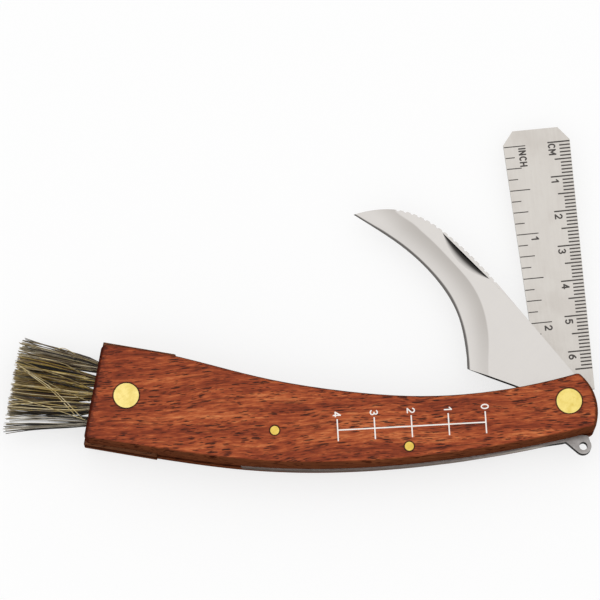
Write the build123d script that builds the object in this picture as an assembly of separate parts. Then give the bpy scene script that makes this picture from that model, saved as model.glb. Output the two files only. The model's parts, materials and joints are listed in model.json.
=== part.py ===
from build123d import *
import os
import random
from math import acos, atan2, cos, degrees, pi, radians, sin, sqrt

# Mushroom knife lying on its back scale, with the blade and the ruler both half open.
# The origin is on the pivot's axis at the resting plane, +X runs along the handle from
# the brush to the pivot, +Y is the side that the blade opens from, and +Z is the
# thickness, from the back scale to the front scale. All lengths are in millimetres.

os.makedirs("parts", exist_ok=True)

# Layers, from the resting plane up
scale_thickness = 5.2
blade_thickness = 2.0
ruler_thickness = 0.8
washer_thickness = 0.2
layer_clearance = 0.1
spring_thickness = blade_thickness + 2 * washer_thickness - layer_clearance
pocket_depth = washer_thickness + ruler_thickness + layer_clearance
z_pocket_floor = scale_thickness - pocket_depth
z_ruler = z_pocket_floor + washer_thickness
z_washer_middle = z_ruler + ruler_thickness
z_blade = z_washer_middle + washer_thickness
z_washer_front = z_blade + blade_thickness
z_front_scale = scale_thickness + spring_thickness
z_middle = scale_thickness + spring_thickness / 2
total_thickness = 2 * scale_thickness + spring_thickness
cut_overrun = 1.0
z_above = total_thickness + cut_overrun
small_clearance = 0.03

# Blade, drawn fully open: the tip points along +X and the cutting edge is on the +Y side
blade_length = 79.1
blade_width = 22.8
blade_rest_angle = 134.0
spine_angle = -5.1
spine_straight = 37.2
cutting_edge_thickness = 0.25
edge_bevel_width = 0.4
edge_bevel_depth_share = 0.4
tang_flat_distance = 7.0
tang_cam_radius = 7.9
kick_reach = 12.3
jimping_count = 18
jimping_pitch = 2.0
jimping_radius = 0.5
jimping_depth = 0.35
nick_length = 18.3
nick_height = 2.6
nick_depth = 0.6
nick_setback = 1.1

# Points of the spine and the cutting edge as shares of the blade's length and width
spine_curve_shares = [
    (0.585, -0.474),
    (0.695, -0.463),
    (0.809, -0.399),
    (0.894, -0.263),
    (0.9545, -0.066),
]
tip_share = (1.0, 0.18)
edge_curve_shares = [
    (0.9216, 0.118),
    (0.833, 0.055),
    (0.7446, 0.020),
    (0.6536, 0.022),
    (0.5664, 0.066),
    (0.4918, 0.151),
    (0.4134, 0.311),
    (0.3620, 0.445),
]
heel_share = (0.3320, 0.539)
nick_centre_share = 0.62

# Pairs of points across the ground face, from the ricasso to the tip: where the grind
# starts on the flat, and where it reaches the cutting edge
grind_shares = [
    ((0.241, 0.488), (0.310, 0.600)),
    ((0.279, 0.362), (0.3350, 0.525)),
    ((0.314, 0.236), (0.3620, 0.445)),
    ((0.364, 0.066), (0.4134, 0.311)),
    ((0.411, -0.055), (0.4550, 0.222)),
    ((0.462, -0.154), (0.5060, 0.136)),
    ((0.524, -0.226), (0.5664, 0.066)),
    ((0.602, -0.259), (0.6536, 0.022)),
    ((0.676, -0.270), (0.7446, 0.020)),
    ((0.751, -0.273), (0.833, 0.055)),
    ((0.828, -0.272), (0.9216, 0.118)),
    ((0.940, -0.250), (1.045, 0.250)),
]
grind_overreach_share = 1.15

# Ruler, drawn fully open: it points along +X
ruler_length = 79.5
ruler_tip_width = 18.6
ruler_root_width = 14.9
ruler_side_shift = 0.65
ruler_shoulder = 4.3
ruler_tang_radius = 6.0
ruler_corner_length = 3.8
ruler_corner_drop = 3.0
ruler_rest_angle = 95.8
ruler_closed_angle = 180.0
pocket_clearance = 0.4

# Back spring with the lanyard eye
heel_gap = 0.35
spring_arm_height = 2.1
spring_clearance = 0.1
spring_proud_rear = 0.35
spring_proud_front = 0.6
spring_pad_length = 11.4
spring_pad_past_pivot = 6.1
spring_rear_overhang = 8.7
pin_wall_above = 1.3
pin_boss_length = 7.8
pin_boss_height = 3.9
spring_neck_height = 3.6
spring_pad_height = 2.45
spring_pad_setback = 0.8
spring_end_radius = 1.0
eye_x = 4.0
eye_drop = 11.35
eye_outer_radius = 2.2
eye_flank_angle = -40.9
eye_flank_length = 5.7
eye_fillet_radius = 0.6
lanyard_hole_radius = 1.1

# Handle scales: the top edge rises to the butt, the bottom edge is the belly
handle_length = 139.0
handle_rise = 15.9
belly_extra = 3.45
front_edge_radius = 1.1
back_edge_radius = 2.4
scale_corner_radius = 1.6
heel_drop = heel_share[1] * blade_width
heel_clear_shares = (-0.92, -1.10)
handle_drop = heel_drop + heel_gap + spring_arm_height - spring_proud_front + belly_extra

# Edge points as shares of the handle's length and of its rise or drop from the pivot
top_edge_shares = [
    (-0.9100, 1.000),
    (-0.7570, 0.780),
    (-0.6010, 0.428),
    (-0.4450, 0.195),
    (-0.2900, 0.098),
    (-0.1340, 0.201),
    (0.0198, 0.502),
]
bottom_edge_shares = [
    (-0.9432, -0.610),
    (-0.7957, -0.790),
    (-0.6396, -0.954),
    (-0.4842, -1.006),
    (-0.3288, -0.944),
    (-0.1734, -0.790),
    (0.0497, -0.425),
]
pivot_end_bulge_share = (0.0525, 0.063)
rear_pin_share = (-0.5720, -0.463)
centre_pin_share = (-0.3114, -0.711)

# Rivets, pins and washers
rivet_head_radius = 3.5
rivet_head_thickness = 1.4
rivet_tube_radius = 2.0
rivet_stem_radius = 1.2
rivet_floor = 0.8
pin_radius = 1.3
washer_radius = 4.5
pin_chamfer = 0.1

# Brush block and bristles
block_length = 20.0
block_thickness = 5.5
block_proud_top = 1.3
block_proud_bottom = 0.3
block_end_gap = 0.1
block_edge_radius = 0.5
brush_rivet_inset = 9.2
tuft_count = 5
tuft_pitch = 3.8
tuft_hole_radius = 1.5
tuft_hole_depth = 6.0
tuft_plug_thickness = 1.0
tuft_fan_pitch = 5.1
bristle_length = 22.6
bristle_length_spread = 0.7
bristles_per_tuft = 85
bristle_radius = 0.115
bristle_root_radius = 1.25
bristle_fan_across = 2.35
bristle_fan_thickness = 2.1
bristle_lean = -0.9
bristle_stray = 0.08
bristle_bite = 0.1
bristle_seed = 7
anchor_length = 2.4
anchor_width = 1.2
anchor_thickness = 0.35

recess_depth = (block_thickness - spring_thickness) / 2


def share_point(pair, length, height):
    """Turn a pair of shares into a point, given the sizes that they follow."""
    return Vector(pair[0] * length, pair[1] * height)


def polar(radius, angle):
    """Point at a radius and an angle, in degrees, about the pivot."""
    return Vector(radius * cos(radians(angle)), radius * sin(radians(angle)))


def plate(outline, z_low, thickness):
    """Flat plate with the outline, its lower face at z_low."""
    return extrude(outline.moved(Location((0, 0, z_low))), amount=thickness, dir=(0, 0, 1))


def drill(shape, centre, radius, z_low, z_high):
    """Cut a round hole along Z."""
    return shape - rod(radius, z_high - z_low).moved(Location((centre.X, centre.Y, z_low)))


def rod(radius, length, end=Align.MIN):
    """Round rod along Z, standing on its origin or hanging from it."""
    return Cylinder(radius, length, align=(Align.CENTER, Align.CENTER, end))


def upright_edges(solid):
    """Edges that run through the thickness of a plate."""
    return solid.edges().filter_by(Axis.Z)


# Handle outline and the places on it
top_points = [share_point(pair, handle_length, handle_rise) for pair in top_edge_shares]
bottom_points = [share_point(pair, handle_length, handle_drop) for pair in bottom_edge_shares]
pivot_bulge = Vector(pivot_end_bulge_share[0] * handle_length, pivot_end_bulge_share[1] * handle_rise)
butt_top = top_points[0]
butt_bottom = bottom_points[0]
butt_across = (butt_top - butt_bottom).normalized()
butt_tilt = degrees(atan2(butt_across.Y, butt_across.X)) - 90
butt_width = (butt_top - butt_bottom).length
butt_middle = (butt_top + butt_bottom) * 0.5
pivot = Vector(0, 0)
rear_pin = share_point(rear_pin_share, handle_length, handle_drop)
centre_pin = share_point(centre_pin_share, handle_length, handle_drop)
block_width = butt_width + block_proud_top + block_proud_bottom
block_shift = (block_proud_top - block_proud_bottom) / 2


def butt_place(inward, across, z):
    """Location measured from the middle of the butt: into the handle, across it and up."""
    return Location((butt_middle.X, butt_middle.Y, 0), (0, 0, butt_tilt)) * Location((inward, across, z))


brush_rivet = butt_place(brush_rivet_inset, block_shift, 0).position
brush_rivet = Vector(brush_rivet.X, brush_rivet.Y)


def handle_outline():
    """Face with the outline that both scales share."""
    top = Spline(*top_points)
    bottom = Spline(*bottom_points)
    end = ThreePointArc(bottom_points[-1], pivot_bulge, top_points[-1])
    edges = [top, end, bottom, Line(butt_bottom, butt_top)]
    return make_face(Curve() + edges)


def scale_blank(z_low, outer_face, edge_radius):
    """Plate with softened corners, rounded round its outer face, counted from the lowest one."""
    blank = plate(handle_outline(), z_low, scale_thickness)
    blank = fillet(upright_edges(blank), scale_corner_radius)
    return fillet(blank.faces().sort_by(Axis.Z)[outer_face].edges(), edge_radius)


def block_recess(z_low):
    """Box that clears the brush block out of a scale."""
    across = block_width + 2 * cut_overrun
    inward = block_length + block_end_gap + cut_overrun
    box = Box(inward, across, recess_depth, align=(Align.MIN, Align.CENTER, Align.MIN))
    return butt_place(-cut_overrun, block_shift, z_low) * box


def rivet_hole(scale, centre, head_z_low, head_z_high):
    """Shaft hole right through a scale and the seat for a flush rivet head."""
    scale = drill(scale, centre, rivet_tube_radius + small_clearance, -cut_overrun, z_above)
    return drill(scale, centre, rivet_head_radius + small_clearance, head_z_low, head_z_high)


def ruler_outline():
    """Ruler drawn fully open, with its tang round the pivot."""
    root_half = ruler_root_width / 2
    tip_half = ruler_tip_width / 2
    corner_x = ruler_length - ruler_corner_length
    body = Polyline(
        (ruler_shoulder, root_half - ruler_side_shift),
        (corner_x, tip_half - ruler_side_shift),
        (ruler_length, tip_half - ruler_side_shift - ruler_corner_drop),
        (ruler_length, ruler_corner_drop - tip_half - ruler_side_shift),
        (corner_x, -tip_half - ruler_side_shift),
        (ruler_shoulder, -root_half - ruler_side_shift),
        close=True,
    )
    return make_face(body) + Circle(ruler_tang_radius)


def ruler_pocket():
    """Everything that the ruler sweeps inside the back scale, with its clearance."""
    opened = offset(ruler_outline(), pocket_clearance, kind=Kind.INTERSECTION)
    closed = opened.rotate(Axis.Z, ruler_closed_angle)
    shoulder = Vector(ruler_shoulder, ruler_root_width / 2 + ruler_side_shift)
    start = -degrees(atan2(shoulder.Y, shoulder.X))
    reach = shoulder.length + pocket_clearance
    arc = CenterArc((0, 0), reach, start, ruler_closed_angle - start)
    sector = make_face(Curve() + [arc, Line(arc @ 1, (0, 0)), Line((0, 0), arc @ 0)])
    return plate(closed + opened + sector, z_pocket_floor, pocket_depth + cut_overrun)


def front_scale():
    """Upper scale: the face that the photograph shows."""
    scale = scale_blank(z_front_scale, -1, front_edge_radius)
    scale -= block_recess(z_front_scale)
    seat = total_thickness - rivet_head_thickness
    for centre in (pivot, brush_rivet):
        scale = rivet_hole(scale, centre, seat, z_above)
    for centre in (rear_pin, centre_pin):
        scale = drill(scale, centre, pin_radius + small_clearance, -cut_overrun, z_above)
    return scale


def back_scale():
    """Lower scale, with the pocket that the ruler folds into."""
    scale = scale_blank(0, 0, back_edge_radius)
    scale -= block_recess(scale_thickness - recess_depth)
    scale -= ruler_pocket()
    for centre in (pivot, brush_rivet):
        scale = rivet_hole(scale, centre, -cut_overrun, rivet_head_thickness)
    for centre in (rear_pin, centre_pin):
        scale = drill(scale, centre, pin_radius + small_clearance, -cut_overrun, z_above)
    return scale


# Blade
spine_foot = polar(tang_flat_distance, spine_angle - 90)
spine_end = spine_foot + polar(spine_straight, spine_angle)
kick_foot = polar(tang_flat_distance, spine_angle + 90)
kick_corner = kick_foot + polar(kick_reach, spine_angle)
tip = share_point(tip_share, blade_length, blade_width)
heel = share_point(heel_share, blade_length, blade_width)
spine_points = [share_point(pair, blade_length, blade_width) for pair in spine_curve_shares]
edge_points = [share_point(pair, blade_length, blade_width) for pair in edge_curve_shares]
spine_curve = Spline(spine_end, *spine_points, tip)


def tang_curves():
    """Tang from the spine round the pivot to the kick: a low arc, a flat, the cam and a flat."""
    half_flat = degrees(acos(min(1, tang_flat_distance / tang_cam_radius)))
    end_direction = spine_angle + 180
    end_foot = polar(tang_flat_distance, end_direction)
    cam_start = polar(tang_cam_radius, end_direction - half_flat)
    cam_end = polar(tang_cam_radius, spine_angle + 90 + half_flat)
    cam_middle = polar(tang_cam_radius, spine_angle + 135)
    low_middle = polar(tang_flat_distance, spine_angle - 135)
    return [
        ThreePointArc(spine_foot, low_middle, end_foot),
        Line(end_foot, cam_start),
        ThreePointArc(cam_start, cam_middle, cam_end),
        Line(cam_end, kick_corner),
    ]


def blade_outline():
    """Whole blade seen from the side, fully open."""
    edges = tang_curves() + [
        Line(kick_corner, heel),
        Line(heel, edge_points[-1]),
        Spline(tip, *edge_points),
        spine_curve,
        Line(spine_end, spine_foot),
    ]
    return make_face(Curve() + edges)


def grind_tool(z_face, upward):
    """Wedge that grinds one face of the blade down to the cutting edge."""
    depth = (blade_thickness - cutting_edge_thickness) / 2 * grind_overreach_share
    rise = small_clearance * upward
    wires = []
    for start_share, edge_share in grind_shares:
        start = share_point(start_share, blade_length, blade_width)
        edge = share_point(edge_share, blade_length, blade_width)
        beyond = start + (edge - start) * grind_overreach_share
        back = start - (beyond - start) * (small_clearance / depth)
        corners = [
            (back.X, back.Y, z_face + rise),
            (beyond.X, beyond.Y, z_face + rise),
            (beyond.X, beyond.Y, z_face - depth * upward),
        ]
        wires.append(Wire.make_polygon(corners, close=True))
    return Solid.make_loft(wires)


def sharpen(body, upper):
    """Narrow sharpening bevel along the cutting edge, on the upper or the lower face."""
    ground = body.faces().filter_by(GeomType.BSPLINE).sort_by(Axis.Z)[-1 if upper else 0]
    rim = body.faces().filter_by(GeomType.EXTRUSION).sort_by(Axis.Y)[-1]
    shared = [edge for edge in ground.edges() if edge in rim.edges()]
    depth = cutting_edge_thickness * edge_bevel_depth_share
    return chamfer(shared, length=edge_bevel_width, length2=depth, reference=ground)


def nail_nick():
    """Crescent cut by a tapered wheel: a steep wall by the spine and a slanting floor."""
    wheel_radius = (nick_length ** 2 / 4 + nick_depth ** 2) / (2 * nick_depth)
    narrow = wheel_radius - nick_depth
    wheel = Cone(wheel_radius, narrow, nick_height, align=(Align.CENTER, Align.CENTER, Align.MIN))
    x = nick_centre_share * blade_length
    y = spine_curve_shares[0][1] * blade_width + nick_setback
    z = z_blade + blade_thickness + wheel_radius - nick_depth
    return Location((x, y, z), (-90, 0, 0)) * wheel


def jimping():
    """Small grooves across the spine, evenly spaced from where the spine starts to curve."""
    grooves = []
    for i in range(jimping_count):
        share = (i + 1) * jimping_pitch / spine_curve.length
        point = spine_curve.position_at(min(share, 1))
        outward = spine_curve.tangent_at(min(share, 1)).rotate(Axis.Z, -90)
        centre = point + outward * (jimping_radius - jimping_depth)
        groove = Cylinder(jimping_radius, blade_thickness + 2 * cut_overrun)
        grooves.append(groove.moved(Location((centre.X, centre.Y, z_blade + blade_thickness / 2))))
    return grooves


def blade():
    """Hooked blade, turned to the half-open pose of the photograph."""
    body = plate(blade_outline(), z_blade, blade_thickness)
    body -= [grind_tool(z_blade + blade_thickness, 1), grind_tool(z_blade, -1)]
    body = sharpen(body, True)
    body = sharpen(body, False)
    body -= nail_nick()
    body -= jimping()
    body = drill(body, pivot, rivet_tube_radius + small_clearance, -cut_overrun, total_thickness)
    return body.rotate(Axis.Z, blade_rest_angle)


def ruler():
    """Flat ruler, turned to its half-open pose."""
    body = plate(ruler_outline(), z_ruler, ruler_thickness)
    body = drill(body, pivot, rivet_tube_radius + small_clearance, -cut_overrun, total_thickness)
    return body.rotate(Axis.Z, ruler_rest_angle)


# Back spring
pad_distance = tang_cam_radius + spring_clearance
pad_foot = polar(pad_distance, spine_angle - 90)
pad_right = pad_foot + polar(spring_pad_past_pivot, spine_angle)
pad_left = pad_right - polar(spring_pad_length, spine_angle)
arm_top_y = -(heel.Y + heel_gap)
eye = Vector(eye_x, -eye_drop)


def spring_bottom():
    """Lower edge of the spring: the belly of the handle, a little proud of it."""
    chosen = bottom_points[2:6]
    points = []
    for i, point in enumerate(chosen):
        proud = spring_proud_rear + (spring_proud_front - spring_proud_rear) * i / (len(chosen) - 1)
        points.append(Vector(point.X, point.Y - proud))
    points.append(pad_left - Vector(0, spring_neck_height))
    points.append(pad_foot - Vector(spring_pad_setback, spring_pad_height))
    return points


def back_spring():
    """Spring plate between the scales, with its pad under the tang and the lanyard eye."""
    bottom = spring_bottom()
    rear_x = rear_pin.X - spring_rear_overhang
    rear_top = rear_pin.Y + pin_radius + pin_wall_above
    centre_top = centre_pin.Y + pin_boss_height
    heel_near, heel_far = [Vector(share * heel.X, arm_top_y) for share in heel_clear_shares]
    climb = Vector((heel_far.X + centre_pin.X) / 2, (arm_top_y + centre_top) / 2)
    top = [
        pad_left,
        heel_near,
        heel_far,
        climb,
        Vector(centre_pin.X, centre_top),
        Vector(rear_pin.X + pin_boss_length / 2, rear_top),
        Vector(rear_pin.X - pin_boss_length / 2, rear_top),
        Vector(rear_x, rear_pin.Y),
        bottom[0],
    ]
    eye_bottom = bottom[-1]
    edges = [Line(pad_right, pad_left)]
    edges += [Line(a, b) for a, b in zip(top[:-1], top[1:])]
    edges += [Spline(*bottom), Line(eye_bottom, pad_right)]
    arm = make_face(Curve() + edges)
    flank = eye + polar(eye_outer_radius, eye_flank_angle - 90)
    inner = flank - polar(eye_flank_length, eye_flank_angle)
    right = eye + Vector(eye_outer_radius, 0)
    lug = make_face(Polyline(flank, inner, pad_foot, pad_right, right, eye, close=True))
    outline = arm + lug + Pos(eye.X, eye.Y) * Circle(eye_outer_radius)
    body = plate(outline, scale_thickness, spring_thickness)
    notch = pad_foot - Vector(0, spring_pad_height)
    body = fillet(upright_edges(body).sort_by_distance(notch)[0], eye_fillet_radius)
    body = fillet(upright_edges(body).sort_by(Axis.X)[:3], spring_end_radius)
    body = drill(body, eye, lanyard_hole_radius, -cut_overrun, total_thickness)
    for centre in (rear_pin, centre_pin):
        body = drill(body, centre, pin_radius + small_clearance, -cut_overrun, total_thickness)
    return body


# Fasteners
def rivet_back(centre):
    """Lower half of a cutler's rivet: a flush head and the tube that the pieces turn on."""
    head = rod(rivet_head_radius, rivet_head_thickness)
    head = chamfer(head.edges().group_by(Axis.Z)[0], pin_chamfer)
    length = total_thickness - rivet_head_thickness - small_clearance
    body = head + rod(rivet_tube_radius, length)
    body = drill(body, pivot, rivet_stem_radius, rivet_floor, total_thickness)
    return body.moved(Location((centre.X, centre.Y, 0)))


def rivet_front(centre):
    """Upper half of a cutler's rivet: a flush head and the stem that grips inside the tube."""
    head = rod(rivet_head_radius, rivet_head_thickness, Align.MAX)
    head = chamfer(head.edges().group_by(Axis.Z)[-1], pin_chamfer)
    length = total_thickness - 2 * rivet_floor
    body = head + rod(rivet_stem_radius - small_clearance, length, Align.MAX)
    return body.moved(Location((centre.X, centre.Y, total_thickness)))


def pin(centre):
    """Plain pin, flush with both scales."""
    body = rod(pin_radius, total_thickness)
    body = chamfer(body.edges().filter_by(GeomType.CIRCLE), pin_chamfer)
    return body.moved(Location((centre.X, centre.Y, 0)))


def washer(z_low):
    """Thin washer round the pivot."""
    ring = rod(washer_radius, washer_thickness).moved(Location((0, 0, z_low)))
    return drill(ring, pivot, rivet_tube_radius + small_clearance, -cut_overrun, total_thickness)


# Brush
def tuft_offset(index):
    """How far a tuft is from the middle tuft, in steps of the pitch."""
    return index - (tuft_count - 1) / 2


def brush_block():
    """Block that holds the bristles, riveted between the scales."""
    box = Box(block_length, block_width, block_thickness, align=(Align.MIN, Align.CENTER, Align.CENTER))
    box = fillet(box.edges().filter_by(Axis.Y), block_edge_radius)
    body = butt_place(0, block_shift, z_middle) * box
    body = drill(body, brush_rivet, rivet_tube_radius + small_clearance, -cut_overrun, total_thickness)
    hole = rod(tuft_hole_radius, tuft_hole_depth + cut_overrun, Align.MAX).rotate(Axis.Y, 90)
    for index in range(tuft_count):
        across = block_shift + tuft_offset(index) * tuft_pitch
        body -= butt_place(tuft_hole_depth, across, z_middle) * hole
    return body


def bristle(root, mouth, end, spin):
    """One bristle: a three-sided strand, straight in its hole and bent once at the mouth."""
    wires = []
    for centre in (root, mouth, end):
        corners = []
        for side in range(3):
            turn = radians(spin + side * 120)
            across = centre[1] + bristle_radius * cos(turn)
            corners.append((centre[0], across, centre[2] + bristle_radius * sin(turn)))
        wires.append(Wire.make_polygon(corners, close=True))
    return Solid.make_loft(wires, ruled=True)


def bristle_tuft(index, dice):
    """One tuft with the plug at its root, drawn along -X and then set at the butt."""
    plug_depth = tuft_hole_depth - anchor_thickness - tuft_plug_thickness - small_clearance
    plug = rod(tuft_hole_radius - small_clearance, tuft_plug_thickness)
    plug = plug.rotate(Axis.Y, 90).moved(Location((plug_depth, 0, 0)))
    fan_shift = bristle_lean + tuft_offset(index) * (tuft_fan_pitch - tuft_pitch)
    golden = pi * (3 - sqrt(5))
    strands = []
    for i in range(bristles_per_tuft):
        radius = sqrt((i + 0.5) / bristles_per_tuft)
        y = radius * cos(i * golden)
        z = radius * sin(i * golden)
        reach = bristle_length + dice.uniform(-bristle_length_spread, bristle_length_spread)
        root = (plug_depth + bristle_bite, y * bristle_root_radius, z * bristle_root_radius)
        mouth = (0, y * bristle_root_radius, z * bristle_root_radius)
        stray_y = dice.uniform(-bristle_stray, bristle_stray)
        stray_z = dice.uniform(-bristle_stray, bristle_stray)
        end = (-reach, fan_shift + y * bristle_fan_across + stray_y, z * bristle_fan_thickness + stray_z)
        strands.append(bristle(root, mouth, end, dice.uniform(0, 120)))
    tuft = plug.fuse(*strands)
    across = block_shift + tuft_offset(index) * tuft_pitch
    return butt_place(0, across, z_middle) * tuft


def tuft_anchors():
    """Flat wire anchors at the bottom of the tuft holes."""
    bars = []
    for index in range(tuft_count):
        corner = (Align.MAX, Align.CENTER, Align.CENTER)
        bar = Box(anchor_thickness, anchor_length, anchor_width, align=corner)
        across = block_shift + tuft_offset(index) * tuft_pitch
        bars.append(butt_place(tuft_hole_depth, across, z_middle) * bar)
    return Compound(bars)


dice = random.Random(bristle_seed)
nodes = {
    "front_scale": front_scale(),
    "back_scale": back_scale(),
    "brush_block": brush_block(),
    "tuft_anchors": tuft_anchors(),
    "blade": blade(),
    "ruler": ruler(),
    "back_spring": back_spring(),
    "pivot_rivet_front": rivet_front(pivot),
    "pivot_rivet_back": rivet_back(pivot),
    "brush_rivet_front": rivet_front(brush_rivet),
    "brush_rivet_back": rivet_back(brush_rivet),
    "rear_spring_pin": pin(rear_pin),
    "centre_spring_pin": pin(centre_pin),
    "washer_back": washer(z_pocket_floor),
    "washer_middle": washer(z_washer_middle),
    "washer_front": washer(z_washer_front),
}
for index in range(tuft_count):
    nodes[f"bristle_tuft_{index + 1}"] = bristle_tuft(index, dice)

for name, shape in nodes.items():
    export_step(shape, f"parts/{name}.step")
    print(name, round(shape.volume, 2))
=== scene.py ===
"""Folding mushroom knife: finishes, printed and etched marks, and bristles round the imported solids."""

import json
import logging
import math
from dataclasses import dataclass
from enum import Enum

import bmesh
import bpy
from mathutils import Matrix, Vector


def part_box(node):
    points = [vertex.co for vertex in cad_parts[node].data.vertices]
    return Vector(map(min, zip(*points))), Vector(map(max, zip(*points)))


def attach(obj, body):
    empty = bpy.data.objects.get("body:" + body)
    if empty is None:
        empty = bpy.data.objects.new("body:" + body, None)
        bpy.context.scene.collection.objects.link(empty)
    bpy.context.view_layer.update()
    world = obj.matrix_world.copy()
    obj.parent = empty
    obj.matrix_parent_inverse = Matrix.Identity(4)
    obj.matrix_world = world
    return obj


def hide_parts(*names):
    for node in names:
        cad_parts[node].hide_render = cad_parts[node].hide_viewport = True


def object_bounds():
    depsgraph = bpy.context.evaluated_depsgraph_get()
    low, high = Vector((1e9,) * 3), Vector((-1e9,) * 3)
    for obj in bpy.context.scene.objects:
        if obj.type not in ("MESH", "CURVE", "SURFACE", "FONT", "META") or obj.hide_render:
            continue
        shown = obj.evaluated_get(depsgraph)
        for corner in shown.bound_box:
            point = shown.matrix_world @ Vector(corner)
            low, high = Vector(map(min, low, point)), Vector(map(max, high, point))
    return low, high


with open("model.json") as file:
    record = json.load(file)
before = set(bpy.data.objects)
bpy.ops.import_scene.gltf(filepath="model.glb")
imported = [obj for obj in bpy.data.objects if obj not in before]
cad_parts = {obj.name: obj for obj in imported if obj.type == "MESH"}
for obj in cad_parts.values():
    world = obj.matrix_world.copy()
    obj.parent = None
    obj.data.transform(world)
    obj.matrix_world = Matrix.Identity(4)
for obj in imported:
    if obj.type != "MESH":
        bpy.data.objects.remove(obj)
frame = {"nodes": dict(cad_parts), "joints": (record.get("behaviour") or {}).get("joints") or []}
cad_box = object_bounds()

MM = 0.001
ARC_STEPS = 12
INDEX_SLACK = 0.1
WELD_DISTANCE = 0.001 * MM
UPRIGHT_NORMALS = (0.7, 0.3)
CLOUD_LEVELS = (0.38, 0.72)
SPECK_LEVELS = (0.55, 0.75)
TICK_SIZES = ("Short", "Quarter", "Half", "Long")
STRAND_VECTORS = ("root", "tip", "bow")
SOCKET_TYPES = {int: "NodeSocketInt", float: "NodeSocketFloat", Vector: "NodeSocketVector"}
WHITE = (1.0, 1.0, 1.0, 1.0)
log = logging.getLogger("mushroom_knife")

Pair = tuple[float, float]
Triple = tuple[float, float, float]
Colour = tuple[float, float, float, float]
Stops = tuple[tuple[float, Colour], ...]
Stroke = tuple[Pair, ...]


def screen_colour(red: int, green: int, blue: int) -> Colour:
    """Turn a colour as a screen shows it, 0 to 255, into the linear colour that a shader takes.

    Args:
        red: its red.
        green: its green.
        blue: its blue.

    Returns:
        The linear colour with full alpha.
    """
    shares = [value / 255 for value in (red, green, blue)]
    linear = [s / 12.92 if s <= 0.04045 else ((s + 0.055) / 1.055) ** 2.4 for s in shares]
    return (*linear, 1.0)


def colour_stops(*rows: tuple[float, int, int, int]) -> Stops:
    """Stops of a colour ramp, each given as its place and its screen colour."""
    return tuple((place, screen_colour(*shown)) for place, *shown in rows)


class Side(Enum):
    """The long edge of the ruler that a row of marks starts from."""

    LEFT = 1
    RIGHT = -1


class Signal:
    """Output of a node, for the usual signs of arithmetic with numbers and other outputs."""

    def __init__(self, sheet: "Sheet", socket: bpy.types.NodeSocket) -> None:
        """Keep the output, and the sheet that further nodes go into."""
        self.sheet = sheet
        self.socket = socket

    def __add__(self, other: object) -> "Signal":
        """Sum of the two."""
        return self.sheet.math("ADD", self, other)

    def __sub__(self, other: object) -> "Signal":
        """This one less the other."""
        return self.sheet.math("SUBTRACT", self, other)

    def __rsub__(self, other: object) -> "Signal":
        """The other less this one."""
        return self.sheet.math("SUBTRACT", other, self)

    def __mul__(self, other: object) -> "Signal":
        """Product of the two."""
        return self.sheet.math("MULTIPLY", self, other)

    def __truediv__(self, other: object) -> "Signal":
        """This one divided by the other."""
        return self.sheet.math("DIVIDE", self, other)

    def __rtruediv__(self, other: object) -> "Signal":
        """The other divided by this one."""
        return self.sheet.math("DIVIDE", other, self)

    def __abs__(self) -> "Signal":
        """Size without its sign."""
        return self.sheet.math("ABSOLUTE", self)


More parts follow.
